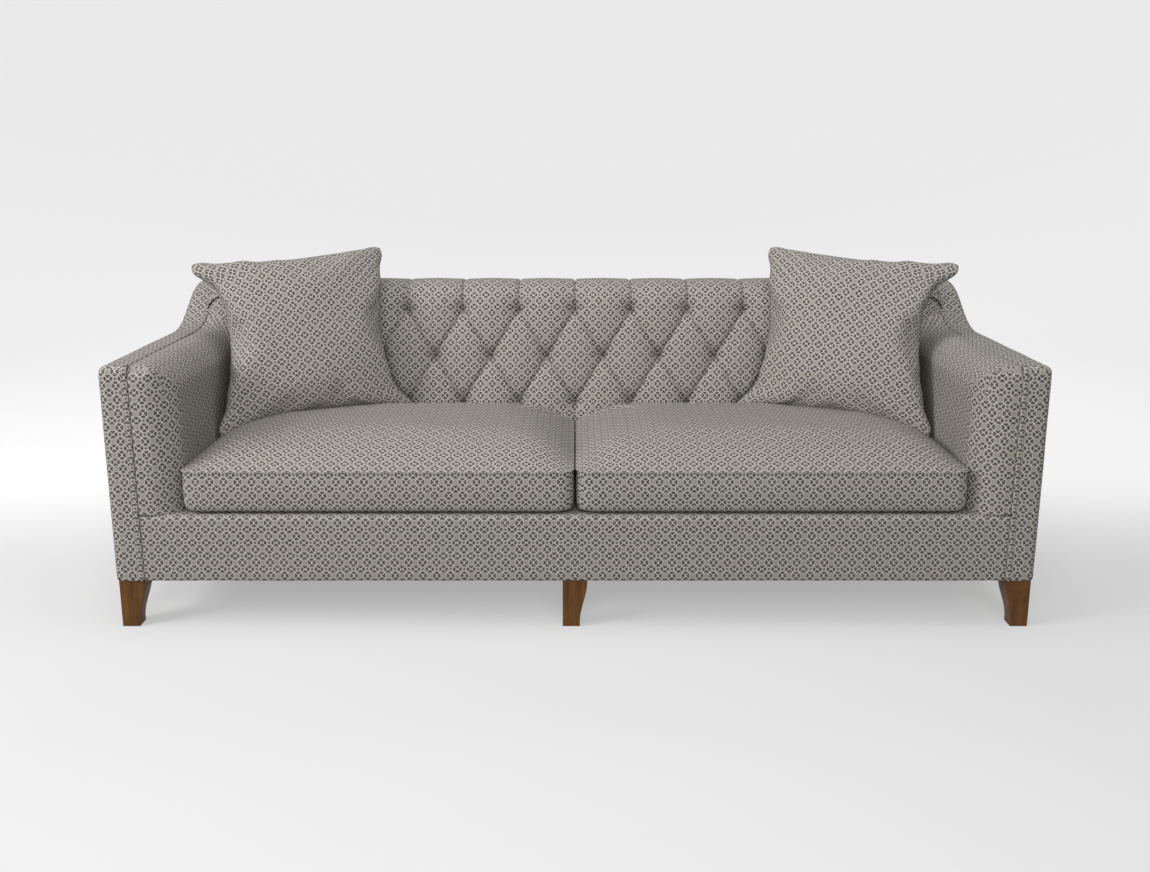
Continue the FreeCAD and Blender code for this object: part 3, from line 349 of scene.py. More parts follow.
# %% Fabric material
REPEAT = 0.0345
PETAL_REACH = 0.305
WEDGE_SLOPE = 0.86
RING_RADIUS = 0.24
DISC_RADIUS = 0.165
LOBE_PLACE = 0.215
LOBE_HALF = (0.098, 0.155)
DOT_RADIUS = 0.070
GROUND = (0.355, 0.329, 0.295, 1)
LIGHT = (0.61, 0.583, 0.540, 1)
PETAL_DARK = (0.046, 0.041, 0.037, 1)
PETAL_PALE = (0.112, 0.101, 0.091, 1)
DISC = (0.262, 0.236, 0.192, 1)
DOT = (0.060, 0.049, 0.040, 1)
THREAD_SCALE = 900.0
PATCH_SCALE = 110.0
LINE_SHARE, THREAD_SHARE = 0.75, 0.40
PATCH_SHARE, FLORET_SHARE = 0.6, 0.45
DISC_SHARE, PETAL_SHARE = 0.6, 0.93
CLOTH_ROUGHNESS = 0.92


def floret_place(sums, across, along):
    """Place seen from the nearest floret: how far towards its discs and how far towards its dots."""
    first_x, first_y = sums.near(across), sums.near(along)
    second_x = sums.near(sums.math("ADD", across, 0.5))
    second_y = sums.near(sums.math("ADD", along, 0.5))
    reach = sums.math("ADD", sums.math("ABSOLUTE", first_x), sums.math("ABSOLUTE", first_y))
    first = sums.math("LESS_THAN", reach, 0.5)
    to_disc = sums.math("ABSOLUTE", sums.pick(first, first_x, second_y))
    to_dot = sums.math("ABSOLUTE", sums.pick(first, first_y, second_x))
    return to_disc, to_dot


def petals(sums, to_disc, to_dot, off_disc):
    """1 on the petals. A wedge opens outwards, and the pale ring of a disc bites into its end."""
    opening = sums.math("SUBTRACT", sums.math("MULTIPLY", to_disc, WEDGE_SLOPE), to_dot)
    ring = sums.spot(off_disc, to_dot, RING_RADIUS, RING_RADIUS, 0.06)
    whole = sums.spot(to_disc, to_dot, PETAL_REACH, PETAL_REACH, 0.07)
    wedge = sums.math("MULTIPLY", sums.ramp(opening, -0.016, 0.016), sums.ramp(to_disc, 0.03, 0.06))
    bitten = sums.math("SUBTRACT", whole, sums.math("MULTIPLY", whole, ring))
    lobe = sums.spot(sums.math("SUBTRACT", to_dot, LOBE_PLACE), to_disc, *LOBE_HALF, 0.14)
    return sums.math("MAXIMUM", sums.math("MULTIPLY", wedge, bitten), lobe)


def floret_tone(sums, across, along):
    """A random value for each floret."""
    number = sums.add("ShaderNodeCombineXYZ")
    for socket, operation in zip(number.inputs, ("ADD", "SUBTRACT")):
        sums.put(socket, sums.math("ROUND", sums.math(operation, across, along)))
    tone = sums.add("ShaderNodeTexWhiteNoise", noise_dimensions="3D")
    sums.put(tone.inputs["Vector"], number.outputs[0])
    return tone.outputs["Value"]


def fabric_material():
    material, sums = start_material("patterned_fabric", CLOTH_ROUGHNESS, specular=0.08)
    cloth = sums.add("ShaderNodeUVMap", uv_map=UV_NAME).outputs["UV"]
    across, along = [sums.math("DIVIDE", way, REPEAT) for way in sums.split(cloth)[:2]]
    to_disc, to_dot = floret_place(sums, across, along)
    off_disc = sums.math("SUBTRACT", 0.5, to_disc)
    disc = sums.spot(off_disc, to_dot, DISC_RADIUS, DISC_RADIUS, 0.16)
    petal = petals(sums, to_disc, to_dot, off_disc)
    dot = sums.spot(sums.math("SUBTRACT", to_dot, 0.5), to_disc, DOT_RADIUS, DOT_RADIUS, 0.35)
    slant = sums.math("ABSOLUTE", sums.math("SUBTRACT", to_disc, to_dot))
    line = sums.math("SUBTRACT", 1.0, sums.ramp(slant, 0.01, 0.075))
    thread = sums.noise_at(cloth, THREAD_SCALE, detail=1.0, dimensions="2D")
    patch = sums.noise_at(cloth, PATCH_SCALE, detail=0.0, dimensions="2D")

    worn = sums.math("MULTIPLY", sums.ramp(patch, 0.3, 0.7), PATCH_SHARE)
    worn = sums.math("MULTIPLY_ADD", floret_tone(sums, across, along), FLORET_SHARE, worn)
    petal_colour = sums.mix(worn, PETAL_DARK, PETAL_PALE)
    pale = sums.math("MULTIPLY_ADD", line, LINE_SHARE, sums.math("MULTIPLY", thread, THREAD_SHARE))
    colour = sums.mix(pale, GROUND, LIGHT)
    colour = sums.mix(sums.math("MULTIPLY", disc, DISC_SHARE), colour, DISC)
    colour = sums.mix(sums.math("MULTIPLY", petal, PETAL_SHARE), colour, petal_colour)
    sums.shade("Base Color", sums.mix(dot, colour, DOT))
    relief = sums.math("ADD", sums.math("MULTIPLY", petal, 0.5), thread)
    sums.shade("Normal", sums.bump(relief, 0.25, 0.0006))
    return material


# %% [markdown]
# ## Wood and the plain materials
#
# The legs are stained a mid brown. Noise that is stretched along the leg, with a finer grain over it, reads
# as long-grained timber. Deck, dust cloth and webbing are plain weaves; foam and fittings are speckled.
# The colours of what is hidden come from the record.

# %% Wood and plain materials
LEG_DARK = (0.050, 0.020, 0.004, 1)
LEG_PALE = (0.185, 0.080, 0.019, 1)
LEG_ROUGHNESS, BOARD_ROUGHNESS = 0.45, 0.7
FOAM_ROUGHNESS, STEEL_ROUGHNESS = 0.8, 0.4
GRAIN_STRETCH = (1.0, 1.0, 0.12)
BAND_SCALE, GRAIN_SCALE = 60.0, 420.0
CLOTH_PITCH = {"webbing": 0.0030, "deck_cloth": 0.0022, "dust_cloth": 0.0018}


def tones(colour, *levels):
    """One colour at several levels of brightness."""
    return [tuple(value * level for value in colour) + (1,) for level in levels]


def wood_material(name, dark, pale, roughness):
    material, sums = start_material(name, roughness, specular=0.2)
    stretch = sums.add("ShaderNodeMapping")
    sums.put(stretch.inputs["Scale"], GRAIN_STRETCH)
    sums.put(stretch.inputs["Vector"], sums.place())
    bands = sums.noise_at(stretch.outputs["Vector"], BAND_SCALE, detail=3.0, distortion=0.6)
    grain = sums.noise_at(stretch.outputs["Vector"], GRAIN_SCALE)
    share = sums.math("MULTIPLY_ADD", grain, 0.45, sums.math("MULTIPLY", bands, 0.65))
    sums.shade("Base Color", sums.mix(sums.ramp(share, 0.25, 0.85), dark, pale))
    return material


def woven_material(name, colour, pitch):
    """Plain cloth: threads that cross each other, a little uneven in tone."""
    material, sums = start_material(name, CLOTH_ROUGHNESS, specular=0.1)
    place = sums.place()
    x, y, z = sums.split(place)
    uneven = sums.noise_at(place, 35.0)
    turns = 2 * math.pi / pitch
    ways = (x, sums.math("ADD", y, z))
    threads = [sums.math("SINE", sums.math("MULTIPLY", way, turns)) for way in ways]
    weave = sums.math("MULTIPLY_ADD", sums.math("MULTIPLY", *threads), 0.5, 0.5)
    share = sums.math("MULTIPLY_ADD", weave, 0.5, sums.math("MULTIPLY", uneven, 0.5))
    sums.shade("Base Color", sums.mix(share, *tones(colour, 0.72, 1.25)))
    sums.shade("Normal", sums.bump(weave, 0.3, 0.0004))
    return material


def speckled_material(name, colour, roughness, metallic):
    """Foam, plastic or plated steel: one colour with a fine change of tone."""
    material, sums = start_material(name, roughness, metallic)
    speck = sums.noise_at(sums.place(), 260.0)
    sums.shade("Base Color", sums.mix(speck, *tones(colour, 0.85, 1.1)))
    return material


materials = {"patterned_fabric": fabric_material(),
             "leg_wood": wood_material("leg_wood", LEG_DARK, LEG_PALE, LEG_ROUGHNESS)}
for entry in frame["record"]["materials"]:
    slot, colour = entry["slot"], entry["base_color"][:3]
    if slot in CLOTH_PITCH:
        materials[slot] = woven_material(slot, colour, CLOTH_PITCH[slot])
    elif slot not in materials and entry["class"] == "wood":
        materials[slot] = wood_material(slot, *tones(colour, 0.7, 1.1), BOARD_ROUGHNESS)
    elif slot not in materials and entry["class"] == "brushed_steel":
        materials[slot] = speckled_material(slot, colour, STEEL_ROUGHNESS, 1.0)
    elif slot not in materials:
        materials[slot] = speckled_material(slot, colour, FOAM_ROUGHNESS, 0.0)
for entry in frame["record"]["subparts"]:
    mesh = nodes[entry["node"]].data
    mesh.materials.clear()
    mesh.materials.append(materials[entry["material_slot"]])
print("materials", sorted(materials))

# %% [markdown]
# ## Handing a piece over
#
# Every piece ends the same way: it gets its material, rides on a body of the frame and stands for one or more
# CAD nodes.

# %% Finishing a piece
def finish_piece(piece, body, *cad_nodes, fill=None, slot="patterned_fabric"):
    """Give a piece its cloth, its body and the CAD nodes that it stands for."""
    piece.data.materials.clear()
    piece.data.materials.append(materials[slot])
    smooth(piece)
    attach(piece, body)
    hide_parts(*cad_nodes)
    print(piece.name, len(piece.data.vertices), "points for", ", ".join(cad_nodes))


# %% [markdown]
# ## Cloth that is blown up
#
# Cushions are simulated. A cover is made at its cut size, air pressure fills it, and the cloth finds its own
# wrinkles and drawn-in seams. Gravity is off, since the filling holds the shape. Points that a seam or the
# deck holds are pinned, and no point may move further than a cap, so a cushion stays where the CAD has it.

# %% Cloth simulation
def inflate(piece, pressure, frames, stiffness, bending, cap, pinned=None):
    """Blow a closed cover up with the cloth solver and keep the result in its own mesh."""
    rest = points_of(piece)
    cloth = piece.modifiers.new("cloth", "CLOTH")
    settings = cloth.settings
    settings.quality = 6
    settings.mass = 0.25
    settings.tension_stiffness = stiffness
    settings.compression_stiffness = stiffness
    settings.shear_stiffness = stiffness / 2
    settings.bending_stiffness = bending
    settings.tension_damping = 12
    settings.compression_damping = 12
    settings.air_damping = 4
    settings.use_pressure = True
    settings.uniform_pressure_force = pressure
    settings.effector_weights.gravity = 0.0
    cloth.collision_settings.use_collision = False
    if pinned is not None:
        group = piece.vertex_groups.new(name="pinned")
        group.add([int(number) for number in pinned], 1.0, "REPLACE")
        settings.vertex_group_mass = "pinned"
    cloth.point_cache.frame_start = 1
    cloth.point_cache.frame_end = frames
    for number in range(1, frames + 1):
        bpy.context.scene.frame_set(number)
    graph = bpy.context.evaluated_depsgraph_get()
    blown = bpy.data.meshes.new_from_object(piece.evaluated_get(graph))
    step = read_values(blown.vertices, "co", 3) - rest
    bpy.data.meshes.remove(blown)
    piece.modifiers.clear()
    piece.vertex_groups.clear()
    bpy.context.scene.frame_set(1)
    length = np.linalg.norm(step, axis=1, keepdims=True)
    allowed = np.reshape(cap, (-1, 1)) / np.maximum(length, 1e-9)
    set_points(piece, rest + step * np.minimum(1.0, allowed))
    print(piece.name, "moved up to", round(float(length.max()) * 1000, 1), "mm")


# %% [markdown]
# ## Seat cushions
#
# A seat cushion is boxed: a top panel, a bottom panel and a border between two seams. The seams stay put
# while the panels are blown out between them, which gives the crisp front edge and the crown of the photo.
# The crown rises over a long run from the front and the sides and over a short one from the back.
# One cushion is made and its mirror image serves for the other.

# %% Seat cushion's plan and crown
SEAT_STEP = 0.0125
SEAT_CORNER = 0.032
CROWN_RUNS = {"front": (0.20, 1.0), "side": (0.14, 0.75), "back": (0.05, 0.8)}


def rounded_plan(low, high, radius, spacing):
    """Points round a level rectangle with round corners, counter-clockwise from the front."""
    ring = []
    turns = max(int(radius * math.pi / 2 / spacing), 3)
    corners = ((high[0] - radius, low[1] + radius, -90), (high[0] - radius, high[1] - radius, 0),
               (low[0] + radius, high[1] - radius, 90), (low[0] + radius, low[1] + radius, 180))
    for number, (x, y, start) in enumerate(corners):
        for step in range(turns + 1):
            angle = math.radians(start + 90 * step / turns)
            ring.append((x + radius * math.cos(angle), y + radius * math.sin(angle)))
        next_x, next_y, next_start = corners[(number + 1) % 4]
        angle = math.radians(next_start)
        end = np.array((next_x + radius * math.cos(angle), next_y + radius * math.sin(angle)))
        start_point = np.array(ring[-1])
        count = max(int(np.linalg.norm(end - start_point) / spacing), 1)
        ring += [tuple(start_point + (end - start_point) * step / count) for step in range(1, count)]
    return np.array(ring)


def crown_share(plan, low, high):
    """From 0 at the seam to 1 on the flat of the crown, at places (x, y) of the top panel."""
    share = np.ones(len(plan))
    for away, run in ((plan[:, 1] - low[1], "front"), (high[1] - plan[:, 1], "back"),
                      (plan[:, 0] - low[0], "side"), (high[0] - plan[:, 0], "side")):
        length, power = CROWN_RUNS[run]
        share *= np.sin(np.clip(away / length, 0, 1) * math.pi / 2) ** power
    return share


# %% Seat cushions
SEAM_HEIGHT = 0.404
SEAM_INSET = 0.0035
SEAM_LIP = 0.0030
SEAM_CREASE = 0.85
BORDER_STEPS = 9
BORDER_INSET = 0.004
BORDER_SWELL = 0.002
BORDER_GAP = 0.004
FOOT_INSET = 0.006
FOOT_SHARE = 0.25
PANEL_START = 0.0075
PANEL_RUN = (0.014, 0.16)
PANEL_RINGS = (16, 12)
CROWN_INSET = 0.006
BORDER_CAP, PANEL_CAP = 0.0025, 0.010


def seat_rings(foot, least_half):
    """Inset, height and place on the top panel of each ring; then the number of the seam's ring."""
    rings = []
    for step in range(BORDER_STEPS + 1):
        share = step / BORDER_STEPS
        tuck = FOOT_INSET * max(FOOT_SHARE - share, 0) ** 2 / FOOT_SHARE ** 2
        inset = BORDER_INSET - BORDER_SWELL * math.sin(math.pi * share) + tuck
        rings.append((inset, foot + (SEAM_HEIGHT - BORDER_GAP - foot) * share, False))
    seam = len(rings)
    rings.append((SEAM_INSET - SEAM_LIP, SEAM_HEIGHT, False))
    close, wide = PANEL_RINGS
    insets = [PANEL_START, *np.linspace(*PANEL_RUN, close)]
    insets += [*np.linspace(PANEL_RUN[1], least_half, wide)[1:-1]]
    rings += [(inset, SEAM_HEIGHT, True) for inset in insets]
    return rings, seam


def seat_cover(low, high):
    """Boxed cover: rings up the border, a lipped seam, and rings that shrink to the middle of the top."""
    outline = rounded_plan(low, high, SEAT_CORNER, SEAT_STEP)
    middle = (low[:2] + high[:2]) / 2
    half = (high[:2] - low[:2]) / 2
    crown = high[2] - SEAM_HEIGHT
    rings, seam = seat_rings(low[2], half.min())
    points = []
    for inset, height, on_top in rings:
        ring = middle + (outline - middle) * (1 - inset / half)
        rise = np.zeros(len(ring))
        if on_top:
            rise = crown * crown_share(ring, low + CROWN_INSET, high - CROWN_INSET)
        points += [(x, y, height + more) for (x, y), more in zip(ring, rise)]
    count = len(outline)
    faces = ring_faces(len(rings), count)
    points.append((middle[0], middle[1], high[2]))
    points.append((middle[0], middle[1], low[2]))
    last = (len(rings) - 1) * count
    for number in range(count):
        following = (number + 1) % count
        faces.append((last + number, last + following, len(points) - 2))
        faces.append((following, number, len(points) - 1))
    piece = make_object("seat_cushion_left", points, faces)
    held = [*range((seam - 1) * count, (seam + 2) * count), *range(count), len(points) - 1]
    cap = np.where(np.arange(len(points)) < seam * count, BORDER_CAP, PANEL_CAP)
    ends = np.array([edge.vertices for edge in piece.data.edges])
    sharp = ((ends >= seam * count) & (ends < (seam + 1) * count)).all(axis=1)
    crease = piece.data.attributes.new("crease_edge", "FLOAT", "EDGE")
    crease.data.foreach_set("value", sharp * SEAM_CREASE)
    return piece, held, cap


seat, held, cap = seat_cover(*node_box("seat_cover_left"))
inflate(seat, pressure=1.6, frames=14, stiffness=25.0, bending=2.0, cap=cap, pinned=held)
modify(seat, "SUBSURF", levels=1, render_levels=1)
box_uv(seat)
seat_twin = mirror_copy(seat, "seat_cushion_right")
for side, piece in (("left", seat), ("right", seat_twin)):
    finish_piece(piece, f"seat_cushion_{side}", f"seat_cover_{side}", f"seat_foam_{side}", fill=0.85)

# %% [markdown]
# ## Scatter cushions
#
# A knife-edge cushion is two square panels sewn together round the edge. Two grids that share their border
# are blown up from flat. The corners end in small ears because the cloth there has nothing to round over.
# The cushion is made about the origin, scaled to the CAD cushion's cut size and then leaned into the corner.

# %% Scatter cushion's cover
PILLOW_WIDTH = 0.540
PILLOW_HEIGHT = 0.470
PILLOW_DEPTH = 0.160
PILLOW_STEPS = (72, 62)
PILLOW_CORNER = 0.032
PILLOW_CLOTH = (1.0, 1.17)
PANEL_LIFT = 0.004


def round_corner(x, z):
    """Where a place near a square corner comes to lie when the corner is cut round."""
    over_x = max(abs(x) - PILLOW_WIDTH / 2 + PILLOW_CORNER, 0) / PILLOW_CORNER
    over_z = max(abs(z) - PILLOW_HEIGHT / 2 + PILLOW_CORNER, 0) / PILLOW_CORNER
    if not (over_x and over_z):
        return x, z
    reach = max(over_x, over_z)
    turn = math.pi / 4 * min(over_x, over_z) / reach
    round_x, round_z = reach * math.cos(turn), reach * math.sin(turn)
    if over_x < over_z:
        round_x, round_z = round_z, round_x
    return (math.copysign(PILLOW_WIDTH / 2 - PILLOW_CORNER * (1 - round_x), x),
            math.copysign(PILLOW_HEIGHT / 2 - PILLOW_CORNER * (1 - round_z), z))


def pillow_cover():
    """Two flat panels joined at their edge, with the corners cut round."""
    columns, rows = PILLOW_STEPS
    points, uv, faces = [], [], []
    front = np.zeros((rows + 1, columns + 1), dtype=int)
    back = np.zeros_like(front)
    for row in range(rows + 1):
        for column in range(columns + 1):
            x, z = round_corner((column / columns - 0.5) * PILLOW_WIDTH, (row / rows - 0.5) * PILLOW_HEIGHT)
            edge = row in (0, rows) or column in (0, columns)
            lift = 0.0 if edge else PANEL_LIFT
            front[row, column] = len(points)
            back[row, column] = len(points)
            points.append((x, -lift, z))
            uv.append((x, z))
            if not edge:
                back[row, column] = len(points)
                points.append((x, lift, z))
                uv.append((x, z))
    for row in range(rows):
        for column in range(columns):
            corner = ((row, column), (row, column + 1), (row + 1, column + 1), (row + 1, column))
            faces.append([front[place] for place in corner])
            faces.append([back[place] for place in reversed(corner)])
    piece = make_object("scatter_cushion_left", points, faces)
    uv = np.array(uv)
    vertex_uv(piece, uv * PILLOW_CLOTH)
    share_x = np.clip(uv[:, 0] / PILLOW_WIDTH + 0.5, 0, 1)
    share_z = np.clip(uv[:, 1] / PILLOW_HEIGHT + 0.5, 0, 1)
    return piece, front, share_x, share_z


def fit_pillow(piece):
    """Scale a blown cover back to the cut width, height and depth."""
    points = points_of(piece)
    size = points.max(axis=0) - points.min(axis=0)
    middle = (points.max(axis=0) + points.min(axis=0)) / 2
    target = np.array([PILLOW_WIDTH, PILLOW_DEPTH, PILLOW_HEIGHT])
    set_points(piece, (points - middle) * target / size)


# %% [markdown]
# The filled cushion is then drawn to the photo. Each edge is pulled in most at one place along it, which
# leaves long ears at the outer top and the inner foot. The foot gives way to the seat cushion under it.

# %% Scatter cushion's edges and foot
EDGE_PULL = {"left": (0.68, 0.078), "right": (0.27, 0.054), "top": (0.35, 0.016), "foot": (0.5, 0.006)}
CORNER_FREE, CORNER_EASE = 0.05, 0.12
FOOT_EAR = 0.022
REST_GAP = -0.007
FOOT_TRAVEL = (-0.045, 0.03)
FOOT_WINDOW = 9
RAY_START = Vector((0, 0, 0.3))
DOWN = Vector((0, 0, -1))


def pulled_edge(share, peak, deepest):
    """How far an edge is drawn in at a share from 0 to 1 along it; it is deepest at one place."""
    before = np.clip(share / peak, 0, 1)
    after = np.clip((1 - share) / (1 - peak), 0, 1)
    return deepest * np.sin(np.minimum(before, after) * math.pi / 2)


def inside(share):
    """1 along an edge, falling to 0 at its two ends, so that round corners stay round."""
    away = np.clip((np.minimum(share, 1 - share) - CORNER_FREE) / CORNER_EASE, 0, 1)
    return away * away * (3 - 2 * away)


def draw_edges(piece, grid, share_x, share_z):
    """Pull the seam to the line that it takes in the photo."""
    points = points_of(piece)
    rows, columns = grid.shape
    up = np.linspace(0, 1, rows)
    over = np.linspace(0, 1, columns)
    edges = {"left": (up, points[grid[:, 0], 0] + PILLOW_WIDTH / 2),
             "right": (up, PILLOW_WIDTH / 2 - points[grid[:, -1], 0]),
             "top": (over, PILLOW_HEIGHT / 2 - points[grid[-1], 2]),
             "foot": (over, points[grid[0], 2] + PILLOW_HEIGHT / 2)}
    more = {edge: (pulled_edge(run, *EDGE_PULL[edge]) - now) * inside(run)
            for edge, (run, now) in edges.items()}
    points[:, 0] += (1 - share_x) ** 3 * np.interp(share_z, up, more["left"])
    points[:, 0] -= share_x ** 3 * np.interp(share_z, up, more["right"])
    points[:, 0] += FOOT_EAR * share_x ** 3 * (1 - share_z) ** 6
    points[:, 2] -= share_z ** 3 * np.interp(share_x, over, more["top"])
    points[:, 2] += (1 - share_z) ** 3 * np.interp(share_x, over, more["foot"])
    set_points(piece, points)


def rest_on(piece, ground, grid, share_x, share_z):
    """Let the foot of a cushion down, or up, to the cushion that it stands on."""
    surface = BVHTree.FromObject(ground, bpy.context.evaluated_depsgraph_get())
    points = points_of(piece)
    drop = []
    for number in grid[0]:
        hit = surface.ray_cast(Vector(points[number]) + RAY_START, DOWN)[0]
        target = hit.z + REST_GAP if hit else points[number][2]
        drop.append(np.clip(target - points[number][2], *FOOT_TRAVEL))
    padded = np.pad(drop, FOOT_WINDOW // 2, mode="edge")
    drop = np.convolve(padded, np.ones(FOOT_WINDOW) / FOOT_WINDOW, mode="valid")
    points[:, 2] += (1 - share_z) ** 2 * np.interp(share_x, np.linspace(0, 1, len(drop)), drop)
    set_points(piece, points)


# %% Scatter cushions
PILLOW_MIDDLE = Vector((-0.763, 0.049, 0.6612))
PILLOW_TURN = {"Z": 25.0, "X": -20.0, "Y": -3.0}

pillow, grid, share_x, share_z = pillow_cover()
inflate(pillow, pressure=5.0, frames=24, stiffness=25.0, bending=0.25, cap=0.16)
modify(pillow, "SMOOTH", factor=0.5, iterations=14)
fit_pillow(pillow)
draw_edges(pillow, grid, share_x, share_z)
lean = Matrix.Identity(4)
for axis, degrees in PILLOW_TURN.items():
    lean = lean @ Matrix.Rotation(math.radians(degrees), 4, axis)
pillow.data.transform(Matrix.Translation(PILLOW_MIDDLE) @ lean)
rest_on(pillow, seat, grid, share_x, share_z)
modify(pillow, "SUBSURF", levels=1, render_levels=1)
pillow_twin = mirror_copy(pillow, "scatter_cushion_right")
for side, piece in (("left", pillow), ("right", pillow_twin)):
    covered = (f"scatter_cover_{side}", f"scatter_filling_{side}")
    finish_piece(piece, f"scatter_cushion_{side}", *covered, fill=0.75)

# %% [markdown]
# ## The arm's line
#
# Back, arm pads and welts all meet in one line: up the arm's front, along its top and up the sweep to the
# back. The sweep is two arcs with a straight run between them.

# %% Arm line
ARM_TOP = 0.667
BACK_TOP = 0.780
FRONT_Y = -0.468
REAR_Y = 0.464
LEG_TOP = 0.123
SWEEP_LOW = 0.260
SWEEP_HIGH = 0.228
SWEEP_ANGLE = math.radians(32.6)
SWEEP_END = 0.409
FOOT_GAP = 0.001
ARM_CORNER = 0.012
PATH_STEP = 0.006


def arm_path():
    """Points (y, z) up the arm's front, along its top and up the sweep."""
    arcs = (SWEEP_LOW + SWEEP_HIGH) * (1 - math.cos(SWEEP_ANGLE))
    straight = (BACK_TOP - ARM_TOP - arcs) / math.tan(SWEEP_ANGLE)
    start = SWEEP_END - (SWEEP_LOW + SWEEP_HIGH) * math.sin(SWEEP_ANGLE) - straight
    path = [(FRONT_Y, z) for z in np.arange(LEG_TOP + FOOT_GAP, ARM_TOP - ARM_CORNER, PATH_STEP)]
    for angle in np.linspace(0, math.pi / 2, 6):
        path.append((FRONT_Y + ARM_CORNER * (1 - math.cos(angle)),
                     ARM_TOP - ARM_CORNER * (1 - math.sin(angle))))
    path += [(y, ARM_TOP) for y in np.arange(FRONT_Y + ARM_CORNER + PATH_STEP, start, PATH_STEP)]
    for angle in np.arange(0, SWEEP_ANGLE, PATH_STEP / SWEEP_LOW):
        path.append((start + SWEEP_LOW * math.sin(angle), ARM_TOP + SWEEP_LOW * (1 - math.cos(angle))))
    for angle in np.arange(SWEEP_ANGLE, 0, -PATH_STEP / SWEEP_HIGH):
        path.append((SWEEP_END - SWEEP_HIGH * math.sin(angle), BACK_TOP - SWEEP_HIGH * (1 - math.cos(angle))))
    path += [(y, BACK_TOP) for y in np.arange(SWEEP_END, REAR_Y, PATH_STEP)]
    return np.array(path)


def arm_line(places):
    """Height of the arm's top line at each Y."""
    path = arm_path()
    crown = path[np.argmax(path[:, 1] > ARM_TOP - 1e-4):]
    return np.interp(places, crown[:, 0], crown[:, 1])


def run_of(line):
    """Normal and length so far at each point of a line in side view."""
    slope = np.gradient(line, axis=0)
    slope /= np.linalg.norm(slope, axis=1, keepdims=True)
    normal = np.column_stack([-slope[:, 1], slope[:, 0]])
    length = np.concatenate([[0], np.cumsum(np.linalg.norm(np.diff(line, axis=0), axis=1))])
    return normal, length


print("arm line", round(run_of(arm_path())[1][-1], 3), "m long")

# %% [markdown]
# ## Buttoned back
#
# The back is one cloth drawn to three staggered rows of buttons. Slanted coordinates turn the diamonds into
# unit squares: the cloth stands full in the middle of each square, falls into a pleat along its edges and
# is deepest at the corners, where the buttons are. Above the top row the pleats run straight up and
# die out over the crest. The grid's columns and rows are set so that each pleat runs through its points.

# %% Back's side view
TUFT_PITCH = 0.164
TUFT_ROW = 0.133
TUFT_TOP = 0.711
COLUMN_STEPS = 52
ROW_STEPS = 26
SKIRT_STEPS = 12
BACK_RAKE = math.radians(9.6)
BACK_FOOT_Y = 0.149
DECK = 0.294
CREST_START = 0.014
CREST_END = np.array([0.268, 0.7695])
CREST_PULL = (0.025, 0.028)
CREST_STEPS, REAR_STEPS = 26, 24
TUCK = 0.014
REAR_HEIGHT = 0.7605

pad_low, pad_high = node_box("back_pad")


def button_plane(height):
    """Y of the plane that the buttons are drawn to."""
    return BACK_FOOT_Y + (height - DECK) * math.tan(BACK_RAKE)


def back_profile():
    """Side view of the back under its tufts: heights up the rake, then over the crest to the rear."""
    step = TUFT_ROW / ROW_STEPS
    heights = np.arange(TUFT_TOP - 3 * TUFT_ROW - SKIRT_STEPS * step, TUFT_TOP + CREST_START, step)
    heights = np.concatenate([[pad_low[2]], heights[heights > pad_low[2]]])
    line = [(button_plane(height), height) for height in heights]
    start = np.array(line[-1])
    leave = start + np.array([math.sin(BACK_RAKE), math.cos(BACK_RAKE)]) * CREST_PULL[0]
    arrive = CREST_END - np.array([CREST_PULL[1], 0.0])
    for share in np.linspace(0, 1, CREST_STEPS)[1:]:
        turn = ((1 - share) ** 3 * start + 3 * share * (1 - share) ** 2 * leave
                + 3 * share ** 2 * (1 - share) * arrive + share ** 3 * CREST_END)
        line.append(tuple(turn))
    rear = np.array([pad_high[1] + TUCK, REAR_HEIGHT])
    line += [tuple(CREST_END + (rear - CREST_END) * share) for share in np.linspace(0, 1, REAR_STEPS)[1:]]
    return np.array(line)


# %% Back's tufts
TUFT_DEPTH = 0.034
PUFF_DEPTH = 0.009
PLEAT_DEPTH = 0.009
PLEAT_WIDTH = 0.0032
PIT_DEPTH = 0.014
STRAIGHT_DEPTH = 0.010
STRAIGHT_WIDTH = 0.0022
STRAIGHT_START = 0.012
PLEAT_SLOPE = math.hypot(1 / TUFT_PITCH, 0.5 / TUFT_ROW)
DIMPLE_RADIUS = 0.019
CREST_DEPTH = 0.022
CREST_SHARE = 0.75
CREST_FADE = 0.11
REAR_FADE = 0.09
SKIRT_DEPTH = 0.012
SKIRT_SHARE = 0.6
SKIRT_FADE = 1.1


def tuft_height(column, row):
    """Fullness and pleat of the cloth; column in pitches, row in rows above the top buttons."""
    inside_rows = np.clip(row, -2.0, 0.0)
    up = column + inside_rows / 2
    down = column - inside_rows / 2
    off_up, off_down = up - np.round(up), down - np.round(down)
    puff = np.abs(np.sin(np.pi * up) * np.sin(np.pi * down)) ** 0.7
    pleat = np.minimum(np.abs(off_up), np.abs(off_down)) / PLEAT_SLOPE
    beside = (off_up + off_down) / 2 * TUFT_PITCH
    above = (off_up - off_down + row - inside_rows) * TUFT_ROW
    near = np.hypot(beside, above)
    dimple = TUFT_DEPTH + PIT_DEPTH - PUFF_DEPTH - PLEAT_DEPTH
    full = TUFT_DEPTH - PUFF_DEPTH * (1 - puff) - dimple * np.exp(-(near / DIMPLE_RADIUS) ** 1.3)
    return full, PLEAT_DEPTH * np.exp(-pleat / PLEAT_WIDTH)


